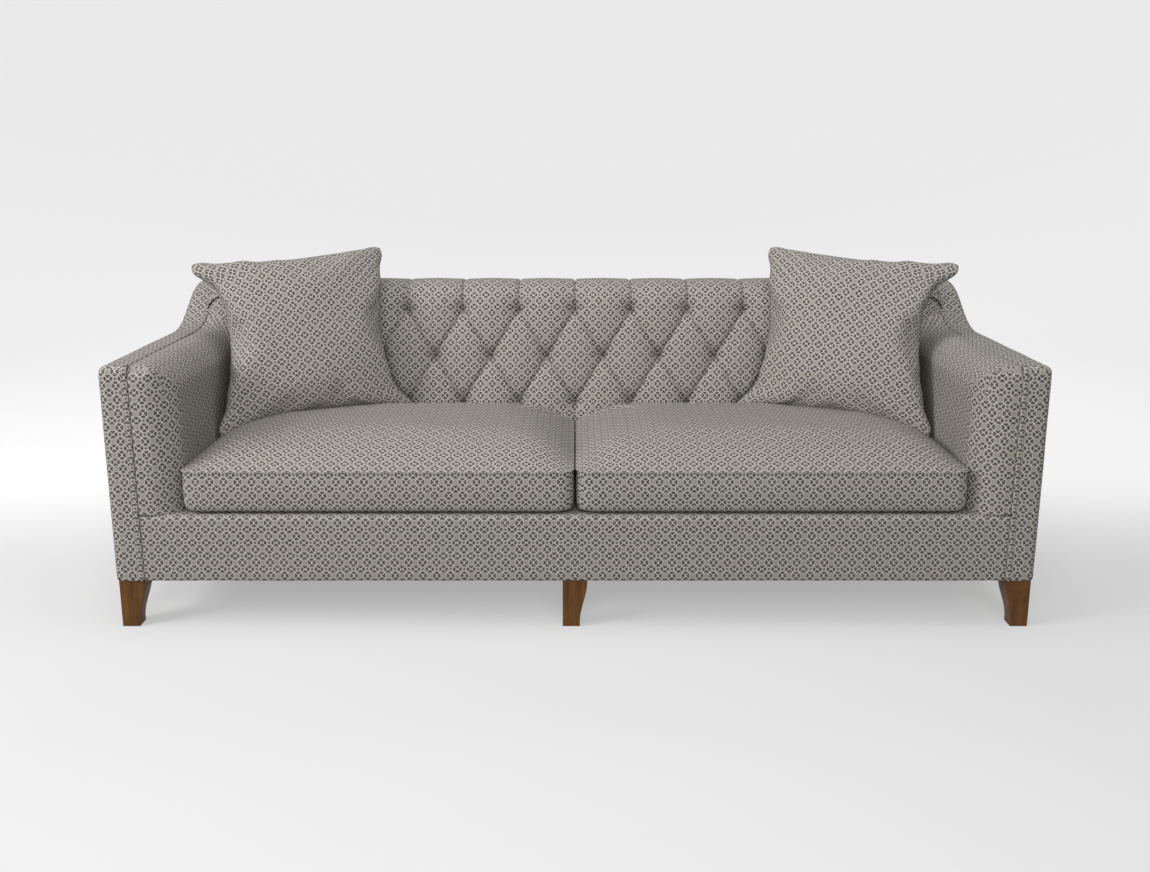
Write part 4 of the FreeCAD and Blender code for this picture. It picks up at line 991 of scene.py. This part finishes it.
def row_relief(columns, above, reach, left):
    """How far one level of cloth stands out: rows and length above the top buttons, length to the rear."""
    height, crease = tuft_height(columns / TUFT_PITCH, above)
    if above > 0:
        fade = min(reach / CREST_FADE, 1.0)
        fade = fade * fade * (3 - 2 * fade)
        ending = min(left / REAR_FADE, 1.0)
        height = height * (1 - CREST_SHARE * fade) + CREST_DEPTH * CREST_SHARE * fade
        height = height * math.sin(ending * math.pi / 2)
        beside = np.abs(columns / TUFT_PITCH - np.round(columns / TUFT_PITCH)) * TUFT_PITCH
        crease = STRAIGHT_DEPTH * np.exp(-beside / STRAIGHT_WIDTH) * min(reach / STRAIGHT_START, 1.0) * ending
    if above < -2:
        fade = min((-2 - above) / SKIRT_FADE, 1.0)
        height = height * (1 - SKIRT_SHARE * fade) + SKIRT_SHARE * fade * SKIRT_DEPTH
    return height - crease


# %% [markdown]
# The crest's two ends come down to the arm's line, and a lining closes the back behind, so that it is one
# closed piece from every side.

# %% Back pad
END_MARGIN = 0.003
END_RUN = 0.11
END_ROLL = 0.04
ROLL_TOP = 0.75
LINE_DROP = 0.003
RAIL_ROUND = 0.04
RAIL_COVER, RAIL_LEAST = 0.004, 0.002
UNDER_DEPTH = 0.022
CREST_FROM_Y = 0.24
RAKE_TO_Y = 0.25


def drape_ends(points, half):
    """Bring the ends of the crest down to the arm's line, but nowhere below the top rail that they cover."""
    place, height = points[:, :, 1], points[:, :, 2]
    rail_low, rail_high = node_box("back_top_rail")
    line = arm_line(place) - LINE_DROP
    over_rail = np.clip((place - rail_low[1]) / RAIL_ROUND + 1, 0, 1)
    line = line + np.maximum(rail_high[2] + RAIL_COVER - line, 0) * over_rail
    near_end = np.clip((np.abs(points[:, :, 0]) - half + END_RUN) / END_RUN, 0, 1)
    height = height - np.maximum(height - line, 0) * (1 - np.sqrt(1 - near_end ** 2))
    points[:, :, 2] = np.where(over_rail == 1, np.maximum(height, rail_high[2] + RAIL_LEAST), height)


def close_back(points, uv, line, normal, half):
    """The tufted cloth with a lining behind it, closed at both ends and along both edges."""
    rows, across = points.shape[:2]
    index = np.arange(rows * across).reshape(rows, across)
    under = line - normal * UNDER_DEPTH
    crest = line[:, 0] > CREST_FROM_Y
    under[crest, 1] = np.minimum(under[crest, 1], arm_line(under[crest, 0]) - UNDER_DEPTH)
    under[:, 1] = np.minimum(under[:, 1], points[:, 0, 2] - UNDER_DEPTH / 2)
    first, second = (index.size + end * rows + np.arange(rows) for end in (0, 1))
    closing = np.concatenate([np.column_stack([first[:-1], first[1:], second[1:], second[:-1]]),
                              np.column_stack([first[1:], first[:-1], index[:-1, 0], index[1:, 0]]),
                              np.column_stack([second[:-1], second[1:], index[1:, -1], index[:-1, -1]])])
    strips = [[second[0], *index[0, ::-1], first[0]], [first[-1], *index[-1], second[-1]]]
    lining = [(side * half, y, z) for side in (-1, 1) for y, z in under]
    faces = [*grid_faces(index), *closing, *strips]
    piece = make_object("buttoned_back", [*points.reshape(-1, 3), *lining], faces)
    lining_uv = [(side * (half + UNDER_DEPTH), run) for side in (-1, 1) for run in uv[:, 0, 1]]
    vertex_uv(piece, np.concatenate([uv.reshape(-1, 2), lining_uv]))
    outward(piece)
    return piece


def tufted_back():
    line = back_profile()
    normal, length = run_of(line)
    step = TUFT_PITCH / COLUMN_STEPS
    half = pad_high[0] + END_MARGIN
    columns = np.arange(-math.floor(half / step), math.floor(half / step) + 1) * step
    columns = np.concatenate([[-half], columns, [half]])
    roll = np.maximum(np.abs(columns) - (half - TUFT_PITCH), 0) / TUFT_PITCH
    top_buttons = length[np.argmin(np.abs(line[:, 1] - TUFT_TOP) + (line[:, 0] > RAKE_TO_Y))]
    points = np.zeros((len(line), len(columns), 3))
    uv = np.zeros((len(line), len(columns), 2))
    for number, (y, z) in enumerate(line):
        reach = length[number] - top_buttons
        above = reach * math.cos(BACK_RAKE) / TUFT_ROW
        height = row_relief(columns, above, reach, length[-1] - length[number])
        away = END_ROLL * roll ** 2 * (1.0 if z < ROLL_TOP else 0.5)
        points[number, :, 0] = columns
        points[number, :, 1] = np.minimum(y + normal[number, 0] * height + away, pad_high[1] + TUCK)
        points[number, :, 2] = z + normal[number, 1] * height
        uv[number, :, 0] = columns
    middle = points[:, :, 1:].mean(axis=1)
    uv[1:, :, 1] = np.cumsum(np.linalg.norm(np.diff(middle, axis=0), axis=1))[:, None]
    drape_ends(points, half)
    return close_back(points, uv, line, normal, half)


finish_piece(tufted_back(), "frame", "back_pad", fill=0.85)

# %% [markdown]
# ## Buttons
#
# All buttons are one covered button set on many points, so Geometry Nodes does it: a set of points, one
# shape, an instance on each point. The result is turned into a plain mesh, since the frame takes no
# modifiers.

# %% Button shape
BUTTON_TOP = 0.0062
BUTTON_RINGS = ((0.0035, 0.0058), (0.0066, 0.0046), (0.0086, 0.0028), (0.0093, 0.0008),
                (0.0086, -0.0012), (0.0070, -0.0030))
BUTTON_SIDES = 24
BUTTON_CLOTH = 0.8


def button_shape():
    """A flattened dome, about the origin, that looks along +Z."""
    points = []
    for radius, height in BUTTON_RINGS:
        for number in range(BUTTON_SIDES):
            angle = 2 * math.pi * number / BUTTON_SIDES
            points.append((radius * math.cos(angle), radius * math.sin(angle), height))
    top = len(points)
    points.append((0, 0, BUTTON_TOP))
    faces = [face[::-1] for face in ring_faces(len(BUTTON_RINGS), BUTTON_SIDES)]
    faces += [(number, (number + 1) % BUTTON_SIDES, top) for number in range(BUTTON_SIDES)]
    faces.append(tuple(range(top - BUTTON_SIDES, top)))
    piece = make_object("button_shape", points, faces)
    outward(piece)
    # The print's dark lobe is laid on the middle of each button. This is partly the cloth's own print and
    # partly painted shade: it darkens the buttons as if they were shaded in their pits.
    vertex_uv(piece, [(x * BUTTON_CLOTH, y * BUTTON_CLOTH + REPEAT * LOBE_PLACE) for x, y, z in points])
    smooth(piece)
    return piece


# %% Buttons
BUTTON_STAND = 0.010
BUTTONS_A_SIDE = 5
ROW_SHIFTS = (0.0, 0.5, 0.0)
INPUT_KINDS = {"Geometry": "Geometry", "Shape": "Object", "Turn": "Rotation", "Size": "Float",
               "Material": "Material"}


def scatter_on_points(name, points, **inputs):
    """Geometry Nodes: one instance of a shape on each point, turned one way and made real."""
    carrier = make_object(name, points, [])
    tree = bpy.data.node_groups.new(name, "GeometryNodeTree")
    for label, kind in INPUT_KINDS.items():
        tree.interface.new_socket(label, in_out="INPUT", socket_type=f"NodeSocket{kind}")
    tree.interface.new_socket("Geometry", in_out="OUTPUT", socket_type="NodeSocketGeometry")
    source = tree.nodes.new("NodeGroupInput").outputs
    result = tree.nodes.new("NodeGroupOutput")
    info = tree.nodes.new("GeometryNodeObjectInfo")
    placed = tree.nodes.new("GeometryNodeInstanceOnPoints")
    real = tree.nodes.new("GeometryNodeRealizeInstances")
    covered = tree.nodes.new("GeometryNodeSetMaterial")
    for start, node, end in ((source["Shape"], info, "Object"), (source["Geometry"], placed, "Points"),
                             (info.outputs["Geometry"], placed, "Instance"),
                             (source["Turn"], placed, "Rotation"), (source["Size"], placed, "Scale"),
                             (placed.outputs["Instances"], real, "Geometry"),
                             (real.outputs["Geometry"], covered, "Geometry"),
                             (source["Material"], covered, "Material"),
                             (covered.outputs["Geometry"], result, "Geometry")):
        tree.links.new(start, node.inputs[end])
    modifier = carrier.modifiers.new(name, "NODES")
    modifier.node_group = tree
    for item in tree.interface.items_tree:
        if item.in_out == "INPUT" and item.name in inputs:
            modifier[item.identifier] = inputs[item.name]
    apply_modifiers(carrier)
    return carrier


button = button_shape()
places = []
for row, shift in enumerate(ROW_SHIFTS):
    height = TUFT_TOP - row * TUFT_ROW
    for number in range(-BUTTONS_A_SIDE - math.ceil(shift), BUTTONS_A_SIDE + 1):
        places.append(((number + shift) * TUFT_PITCH, button_plane(height) + BUTTON_STAND, height))
facing = Euler((math.radians(90) - BACK_RAKE, 0, 0))
buttons = scatter_on_points("back_button_set", places, Shape=button, Turn=facing, Size=1.0,
                            Material=materials["patterned_fabric"])
bpy.data.objects.remove(button)
finish_piece(buttons, "frame", "back_buttons")

# %% [markdown]
# ## Arms, base and outer back
#
# These pieces are padded thinly over boards, so their CAD outline is right and only too crisp. A copy is
# rebuilt as an even skin, smoothed so that edges turn as padded edges do, and given the slight swell of cloth
# over wadding. A straight remake from points was the other way; the copy keeps the sweep in one place.

# %% Padded skins
SWELL_SIZE = 0.11
PAD_EDGE = 0.08
FLAT_LIMIT = 0.75


def soften(name, cad_node, spacing, rounds, swell, seed):
    """An even, softened skin over a copy of a CAD node."""
    piece = copy_node(name, cad_node)
    modify(piece, "REMESH", mode="VOXEL", voxel_size=spacing)
    modify(piece, "SMOOTH", factor=0.5, iterations=rounds)
    points = points_of(piece)
    set_points(piece, points + vertex_normals(piece) * (wave(points, SWELL_SIZE, seed) * swell)[:, None])
    box_uv(piece)
    return piece


def round_edge(first, second, radius):
    """Move places near the edge of two planes onto a round of that radius; distances from the planes."""
    first_in = np.clip(1 - first / radius, 0, None)
    second_in = np.clip(1 - second / radius, 0, None)
    over = np.maximum(np.hypot(first_in, second_in), 1.0)
    return (np.where(first_in > 0, radius * (1 - first_in / over), first),
            np.where(second_in > 0, radius * (1 - second_in / over), second))


def turn_between(first, second):
    """Angle round an edge of two planes, from the distances to them."""
    return np.arctan2(np.clip(PAD_EDGE - first, 0, None), np.clip(PAD_EDGE - second, 1e-9, None))


def arm_cloth(normals, height, from_inside, from_front, from_top):
    """Places on the cloth of an arm pad, measured round its front edge and its top edge."""
    across = from_front - PAD_EDGE * (2 - math.pi / 2)
    on_front = (from_front < PAD_EDGE) & (np.abs(normals[:, 2]) < FLAT_LIMIT)
    across[on_front] = -(from_inside - PAD_EDGE)[on_front] - PAD_EDGE * math.pi / 2 + PAD_EDGE
    bent = on_front & (from_inside < PAD_EDGE)
    across[bent] = PAD_EDGE * (turn_between(from_inside, from_front)[bent] + 1 - math.pi / 2)
    rise = height.copy()
    on_top = (from_top < PAD_EDGE) & (np.abs(normals[:, 1]) < FLAT_LIMIT)
    top = height + from_top - PAD_EDGE
    rise[on_top] = (top + PAD_EDGE * np.pi / 2 + from_inside - PAD_EDGE)[on_top]
    bent = on_top & (from_inside < PAD_EDGE)
    rise[bent] = (top + PAD_EDGE * turn_between(from_top, from_inside))[bent]
    return np.column_stack([across, rise])


def round_arm(piece):
    """Round the inner front and inner top edges of an arm pad as thick wadding does."""
    points = points_of(piece)
    inner, front = np.abs(points[:, 0]).min(), points[:, 1].min()
    square_top = arm_line(points[:, 1]) - points[:, 2]
    from_inside, from_front = round_edge(np.abs(points[:, 0]) - inner, points[:, 1] - front, PAD_EDGE)
    from_inside, from_top = round_edge(from_inside, square_top, PAD_EDGE)
    points[:, 0] = np.sign(points[:, 0]) * (inner + from_inside)
    points[:, 1] = front + from_front
    points[:, 2] -= from_top - square_top
    set_points(piece, points)
    vertex_uv(piece, arm_cloth(vertex_normals(piece), points[:, 2], from_inside, from_front, from_top))


# %% Arms, base and outer back
HEM_DROP, HEM_HEIGHT, HEM_RUN = 0.0025, 0.012, 0.008
REAR_SINK, REAR_SINK_FROM, REAR_SINK_RUN = 0.012, 0.70, 0.07


def lower(piece, fall):
    """Move each point of a piece down by what a rule gives for its height."""
    points = points_of(piece)
    points[:, 2] -= fall(points[:, 2])
    set_points(piece, points)


def hem_fall(height):
    """The lower hem reaches a little further down than the CAD cover."""
    return HEM_DROP * np.clip((LEG_TOP + HEM_HEIGHT - height) / HEM_RUN, 0, 1)


def rear_fall(height):
    """The outer back's upper edge lies under the cloth of the crest."""
    return REAR_SINK * np.clip((height - REAR_SINK_FROM) / REAR_SINK_RUN, 0, 1) ** 2


for side in ("left", "right"):
    cover = soften(f"arm_outside_{side}", f"arm_cover_{side}", spacing=0.006, rounds=4, swell=0.0007, seed=2)
    lower(cover, hem_fall)
    finish_piece(cover, "frame", f"arm_cover_{side}", fill=0.9)
    inner_pad = soften(f"arm_inside_{side}", f"arm_pad_{side}", spacing=0.006, rounds=4, swell=0.0012, seed=3)
    round_arm(inner_pad)
    finish_piece(inner_pad, "frame", f"arm_pad_{side}", fill=0.9)
border = soften("front_border", "base_front_border", spacing=0.005, rounds=3, swell=0.0006, seed=4)
finish_piece(border, "frame", "base_front_border", fill=0.9)
rear = soften("outer_back", "outer_back_cover", spacing=0.006, rounds=4, swell=0.0006, seed=5)
lower(rear, rear_fall)
finish_piece(rear, "frame", "outer_back_cover", fill=0.9)

# %% [markdown]
# ## Deck and dust cloth
#
# Under the loose cushions lies the deck, a thin pad in plain cloth with one seam behind its front edge. A
# dust cloth closes the base from below. Both are height fields over a grid: the deck has rolled edges, a
# sewn line and a little unevenness, and the dust cloth hangs a few millimetres between its staples.

# %% Deck and dust cloth
DECK_CELLS = (90, 40)
DECK_ROLL = 0.012
DECK_FALL = 0.0055
DECK_EDGE_LINES = np.array([0.0015, 0.004, 0.008, 0.012])
DECK_SEAM = 0.11
SEAM_LINES = np.linspace(-0.009, 0.009, 9)
SEAM_WIDTH, SEAM_DEPTH = 0.003, 0.0025
DECK_SWELL, DECK_SWELL_SIZE, DECK_SEED = 0.0009, 0.13, 6
DUST_POINTS = (81, 33)
DUST_GAP = 0.0005
DUST_SAG = 0.005
DUST_BAYS = 4
DUST_THICKNESS = 0.001


def slab(name, x, y, top, bottom):
    """A closed thin piece between two height fields over one grid."""
    upper = np.arange(x.size).reshape(x.shape)
    cells = grid_faces(upper)
    rim = np.concatenate([upper[0, :-1], upper[:-1, -1], upper[-1, :0:-1], upper[:0:-1, 0]])
    following = np.roll(rim, -1)
    sides = np.column_stack([rim, rim + x.size, following + x.size, following])
    points = [np.dstack([x, y, height]).reshape(-1, 3) for height in (top, bottom)]
    piece = make_object(name, np.concatenate(points), np.concatenate([cells, cells[:, ::-1] + x.size, sides]))
    outward(piece)
    box_uv(piece)
    return piece


def deck_pad():
    low, high = node_box("seat_deck")
    lines = [[*np.linspace(low[axis], high[axis], DECK_CELLS[axis]), *(low[axis] + DECK_EDGE_LINES),
              *(high[axis] - DECK_EDGE_LINES)] for axis in (0, 1)]
    x, y = np.meshgrid(np.unique(lines[0]), np.unique([*lines[1], *(low[1] + DECK_SEAM + SEAM_LINES)]))
    edge = np.minimum.reduce([x - low[0], high[0] - x, y - low[1], high[1] - y])
    fall = 1 - np.sqrt(1 - np.clip(1 - edge / DECK_ROLL, 0, 1) ** 2)
    sewn = np.exp(-np.abs(y - low[1] - DECK_SEAM) / SEAM_WIDTH)
    level = np.column_stack([x.ravel(), y.ravel(), np.zeros(x.size)])
    swell = wave(level, DECK_SWELL_SIZE, DECK_SEED).reshape(x.shape)
    top = high[2] - DECK_FALL * fall - SEAM_DEPTH * sewn - DECK_SWELL * (1 + swell)
    return slab("deck_platform", x, y, top, np.full(x.shape, low[2]))


def dust_cloth():
    low, high = node_box("dust_cover")
    x, y = np.meshgrid(*(np.linspace(low[axis], high[axis], DUST_POINTS[axis]) for axis in (0, 1)))
    bay = np.abs(np.sin(math.pi * DUST_BAYS * (x - low[0]) / (high[0] - low[0])))
    middle = np.sin(math.pi * (y - low[1]) / (high[1] - low[1]))
    hang = high[2] - DUST_GAP - DUST_SAG * np.sqrt(bay * middle)
    piece = slab("dust_cloth", x, y, hang, hang - DUST_THICKNESS)
    return piece, (high[0] - low[0], high[1] - low[1])


finish_piece(deck_pad(), "frame", "seat_deck", fill=0.9, slot="deck_cloth")
dust, cut = dust_cloth()
finish_piece(dust, "frame", "dust_cover", slot="dust_cloth")

# %% [markdown]
# ## Legs
#
# Each leg is a tapered block with two straight faces and two that sweep in towards the foot. The copy of the
# CAD leg is cut at many heights, and the two swept faces are laid on a half wave, which is the line that the
# photo shows. A narrow bevel takes the sharpness off the edges, as sanding does.

# %% Legs
LEG_LEVELS = 30
LEG_SWEEP = 0.93
LEG_BEVEL = 0.0014
BEVEL_ANGLE = math.radians(40)
SHARP_ANGLE = math.radians(35)


def sweep_faces(points, low, high, axis):
    """Lay the swept one of a leg's two faces across one axis on a half wave down to the foot."""
    levels = np.linspace(low[2], high[2], LEG_LEVELS)
    cuts = [points[np.abs(points[:, 2] - level) < DOUBLE_POINTS, axis] for level in levels]
    sides = np.array([[extreme(cut) for cut in cuts] for extreme in (np.min, np.max)])
    swept = np.argmax(np.ptp(sides, axis=1))
    width = sides[swept] - sides[1 - swept]
    down = np.minimum((high[2] - levels) / (high[2] - low[2]) / LEG_SWEEP, 1.0)
    wanted = width[0] + (width[-1] - width[0]) * (1 + np.cos(math.pi * down)) / 2
    straight = np.interp(points[:, 2], levels, sides[1 - swept])
    stretch = np.interp(points[:, 2], levels, wanted / width)
    points[:, axis] = straight + (points[:, axis] - straight) * stretch


def shaped_leg(node):
    piece = copy_node(f"{node}_shaped", node)
    low, high = node_box(node)
    work = bmesh.new()
    work.from_mesh(piece.data)
    for level in np.linspace(low[2], high[2], LEG_LEVELS)[1:-1]:
        everything = [*work.verts, *work.edges, *work.faces]
        bmesh.ops.bisect_plane(work, geom=everything, plane_co=(0, 0, level), plane_no=(0, 0, 1))
    work.to_mesh(piece.data)
    work.free()
    points = points_of(piece)
    for axis in (0, 1):
        sweep_faces(points, low, high, axis)
    set_points(piece, points)
    modify(piece, "BEVEL", width=LEG_BEVEL, segments=2, angle_limit=BEVEL_ANGLE)
    return piece


for node in sorted(name for name in nodes if name.startswith(("leg_front", "leg_back"))):
    leg = shaped_leg(node)
    finish_piece(leg, "frame", node, slot="leg_wood")
    leg.data.set_sharp_from_angle(angle=SHARP_ANGLE)

# %% [markdown]
# ## Welt
#
# A flat welt of the same cloth runs between facing and inner pad: up the front, along the arm and up the
# sweep. Its rounded back stands a little proud, so the two seams beside it show as fine dark lines. Its root
# is deeper than its back is high, so that no gap opens beside it.

# %% Welts
SEAM_X = 1.082
WELT_WIDTH = 0.0115
WELT_STAND = 0.0026
WELT_ROOT = 0.010
WELT_SIDES = 20


def welt(name, sign):
    """A band with a rounded back along the arm's path."""
    path = arm_path()
    normal, length = run_of(path)
    section = []
    for angle in np.linspace(-math.pi, math.pi, WELT_SIDES + 1)[:-1]:
        depth = WELT_STAND if abs(angle) < math.pi / 2 else WELT_ROOT
        section.append((WELT_WIDTH / 2 * math.sin(angle), depth * math.cos(angle)))
    points, uv = [], []
    for number, place in enumerate(path):
        for off_x, off in section:
            points.append((sign * (SEAM_X + off_x), *(place + normal[number] * off)))
            uv.append((off_x, length[number]))
    ends = [tuple(range(WELT_SIDES)), tuple(range(len(points) - WELT_SIDES, len(points)))]
    piece = make_object(name, points, ring_faces(len(path), WELT_SIDES) + ends)
    outward(piece)
    vertex_uv(piece, uv)
    return piece


for side, sign in (("left", -1), ("right", 1)):
    finish_piece(welt(f"arm_welt_band_{side}", sign), "frame", f"arm_welt_{side}")

# %% [markdown]
# ## Floor, light and camera
#
# The photo is a plain studio picture: a pale floor that runs into a pale wall, broad soft light from above
# and the front, and a soft shadow under the sofa. A round floor that bends up into a wall has no line between
# them from any side. The floor's own glow is weaker near the sofa, so that the shadow shows there.
# The camera was fitted to the photo: its height, tilt and lens come from the sofa's own edges.

# %% Backdrop
FLOOR_RADIUS, WALL_BEND, WALL_HEIGHT = 4.5, 3.0, 9.0
FLOOR_RINGS = (0.15, 0.4, 0.7, 1.0)
BEND_STEPS = 20
STAGE_SIDES = 96
PAPER = (0.42, 0.42, 0.42, 1)
PAPER_ROUGHNESS = 0.9
WHITE = (1, 1, 1, 1)
GLOW_LEAST, GLOW_MORE = 0.385, 0.28
GLOW_BEHIND = (-0.1, 1.0)
GLOW_AROUND = (2.2, 4.5)


def paper_material():
    """Pale paper that glows a little, more behind the sofa and further from it."""
    paper, sums = start_material("studio_sheet", PAPER_ROUGHNESS, specular=0.0)
    sums.shade("Base Color", PAPER)
    sums.shade("Emission Color", WHITE)
    place = sums.place()
    away = sums.add("ShaderNodeVectorMath", operation="LENGTH")
    sums.put(away.inputs[0], place)
    behind = sums.ramp(sums.split(place)[1], *GLOW_BEHIND)
    around = sums.ramp(away.outputs["Value"], *GLOW_AROUND)
    share = sums.math("MAXIMUM", behind, around)
    sums.shade("Emission Strength", sums.math("MULTIPLY_ADD", share, GLOW_MORE, GLOW_LEAST))
    return paper


def backdrop():
    """A round floor that bends up into a wall, so that every view has the same pale ground."""
    line = [(FLOOR_RADIUS * share, 0.0) for share in FLOOR_RINGS]
    for angle in np.linspace(0, math.pi / 2, BEND_STEPS)[1:]:
        line.append((FLOOR_RADIUS + WALL_BEND * math.sin(angle), WALL_BEND * (1 - math.cos(angle))))
    line.append((FLOOR_RADIUS + WALL_BEND, WALL_HEIGHT))
    points = [(0, 0, 0)]
    for radius, z in line:
        for number in range(STAGE_SIDES):
            angle = 2 * math.pi * number / STAGE_SIDES
            points.append((radius * math.cos(angle), radius * math.sin(angle), z))
    faces = [(0, 1 + number, 1 + (number + 1) % STAGE_SIDES) for number in range(STAGE_SIDES)]
    faces += [face[::-1] for face in ring_faces(len(line), STAGE_SIDES, start=1)]
    piece = make_object("studio_sheet", points, faces)
    piece.data.materials.append(paper_material())
    smooth(piece)
    piece.visible_diffuse = False


backdrop()
print("backdrop", FLOOR_RADIUS + WALL_BEND, "m in radius")

# %% Lights and camera
SOFA_MIDDLE = (0, 0.1, 0.5)
LIGHTS = {"front": {"place": (0, -5.0, 2.6), "aim": SOFA_MIDDLE, "size": (3.6, 1.8), "power": 131},
          "overhead": {"place": (0, -0.6, 3.2), "aim": (0, -0.3, 0.0), "size": (4.5, 2.0), "power": 41},
          "left": {"place": (-4.0, -2.2, 2.4), "aim": SOFA_MIDDLE, "size": (1.8, 1.4), "power": 115},
          "rear": {"place": (0, 4.2, 3.2), "aim": (0, 0.4, 0.4), "size": (3.0, 1.4), "power": 45}}
WORLD_STRENGTH = 0.21
CAMERA_PLACE = (0, -3.345, 1.196)
CAMERA_TILT = 13.66
CAMERA_LENS, CAMERA_SENSOR = 38.19, 36.0


def area_light(name, place, aim, size, power):
    data = bpy.data.lights.new(name, "AREA")
    data.shape = "RECTANGLE"
    data.size, data.size_y = size
    data.energy = power
    lamp = link_object(name, data)
    lamp.location = place
    lamp.rotation_euler = (Vector(aim) - Vector(place)).to_track_quat("-Z", "Y").to_euler()


for name, light in LIGHTS.items():
    area_light(name, **light)
scene = bpy.context.scene
scene.world = bpy.data.worlds.new("studio")
scene.world.use_nodes = True
sky = scene.world.node_tree.nodes["Background"]
sky.inputs["Color"].default_value = WHITE
sky.inputs["Strength"].default_value = WORLD_STRENGTH
scene.view_settings.view_transform = "Standard"
lens = bpy.data.cameras.new("camera")
lens.lens = CAMERA_LENS
lens.sensor_width = CAMERA_SENSOR
scene.camera = link_object("camera", lens)
scene.camera.location = CAMERA_PLACE
scene.camera.rotation_euler = (math.radians(90 - CAMERA_TILT), 0, 0)
print("lights", list(LIGHTS), "camera at", CAMERA_PLACE)
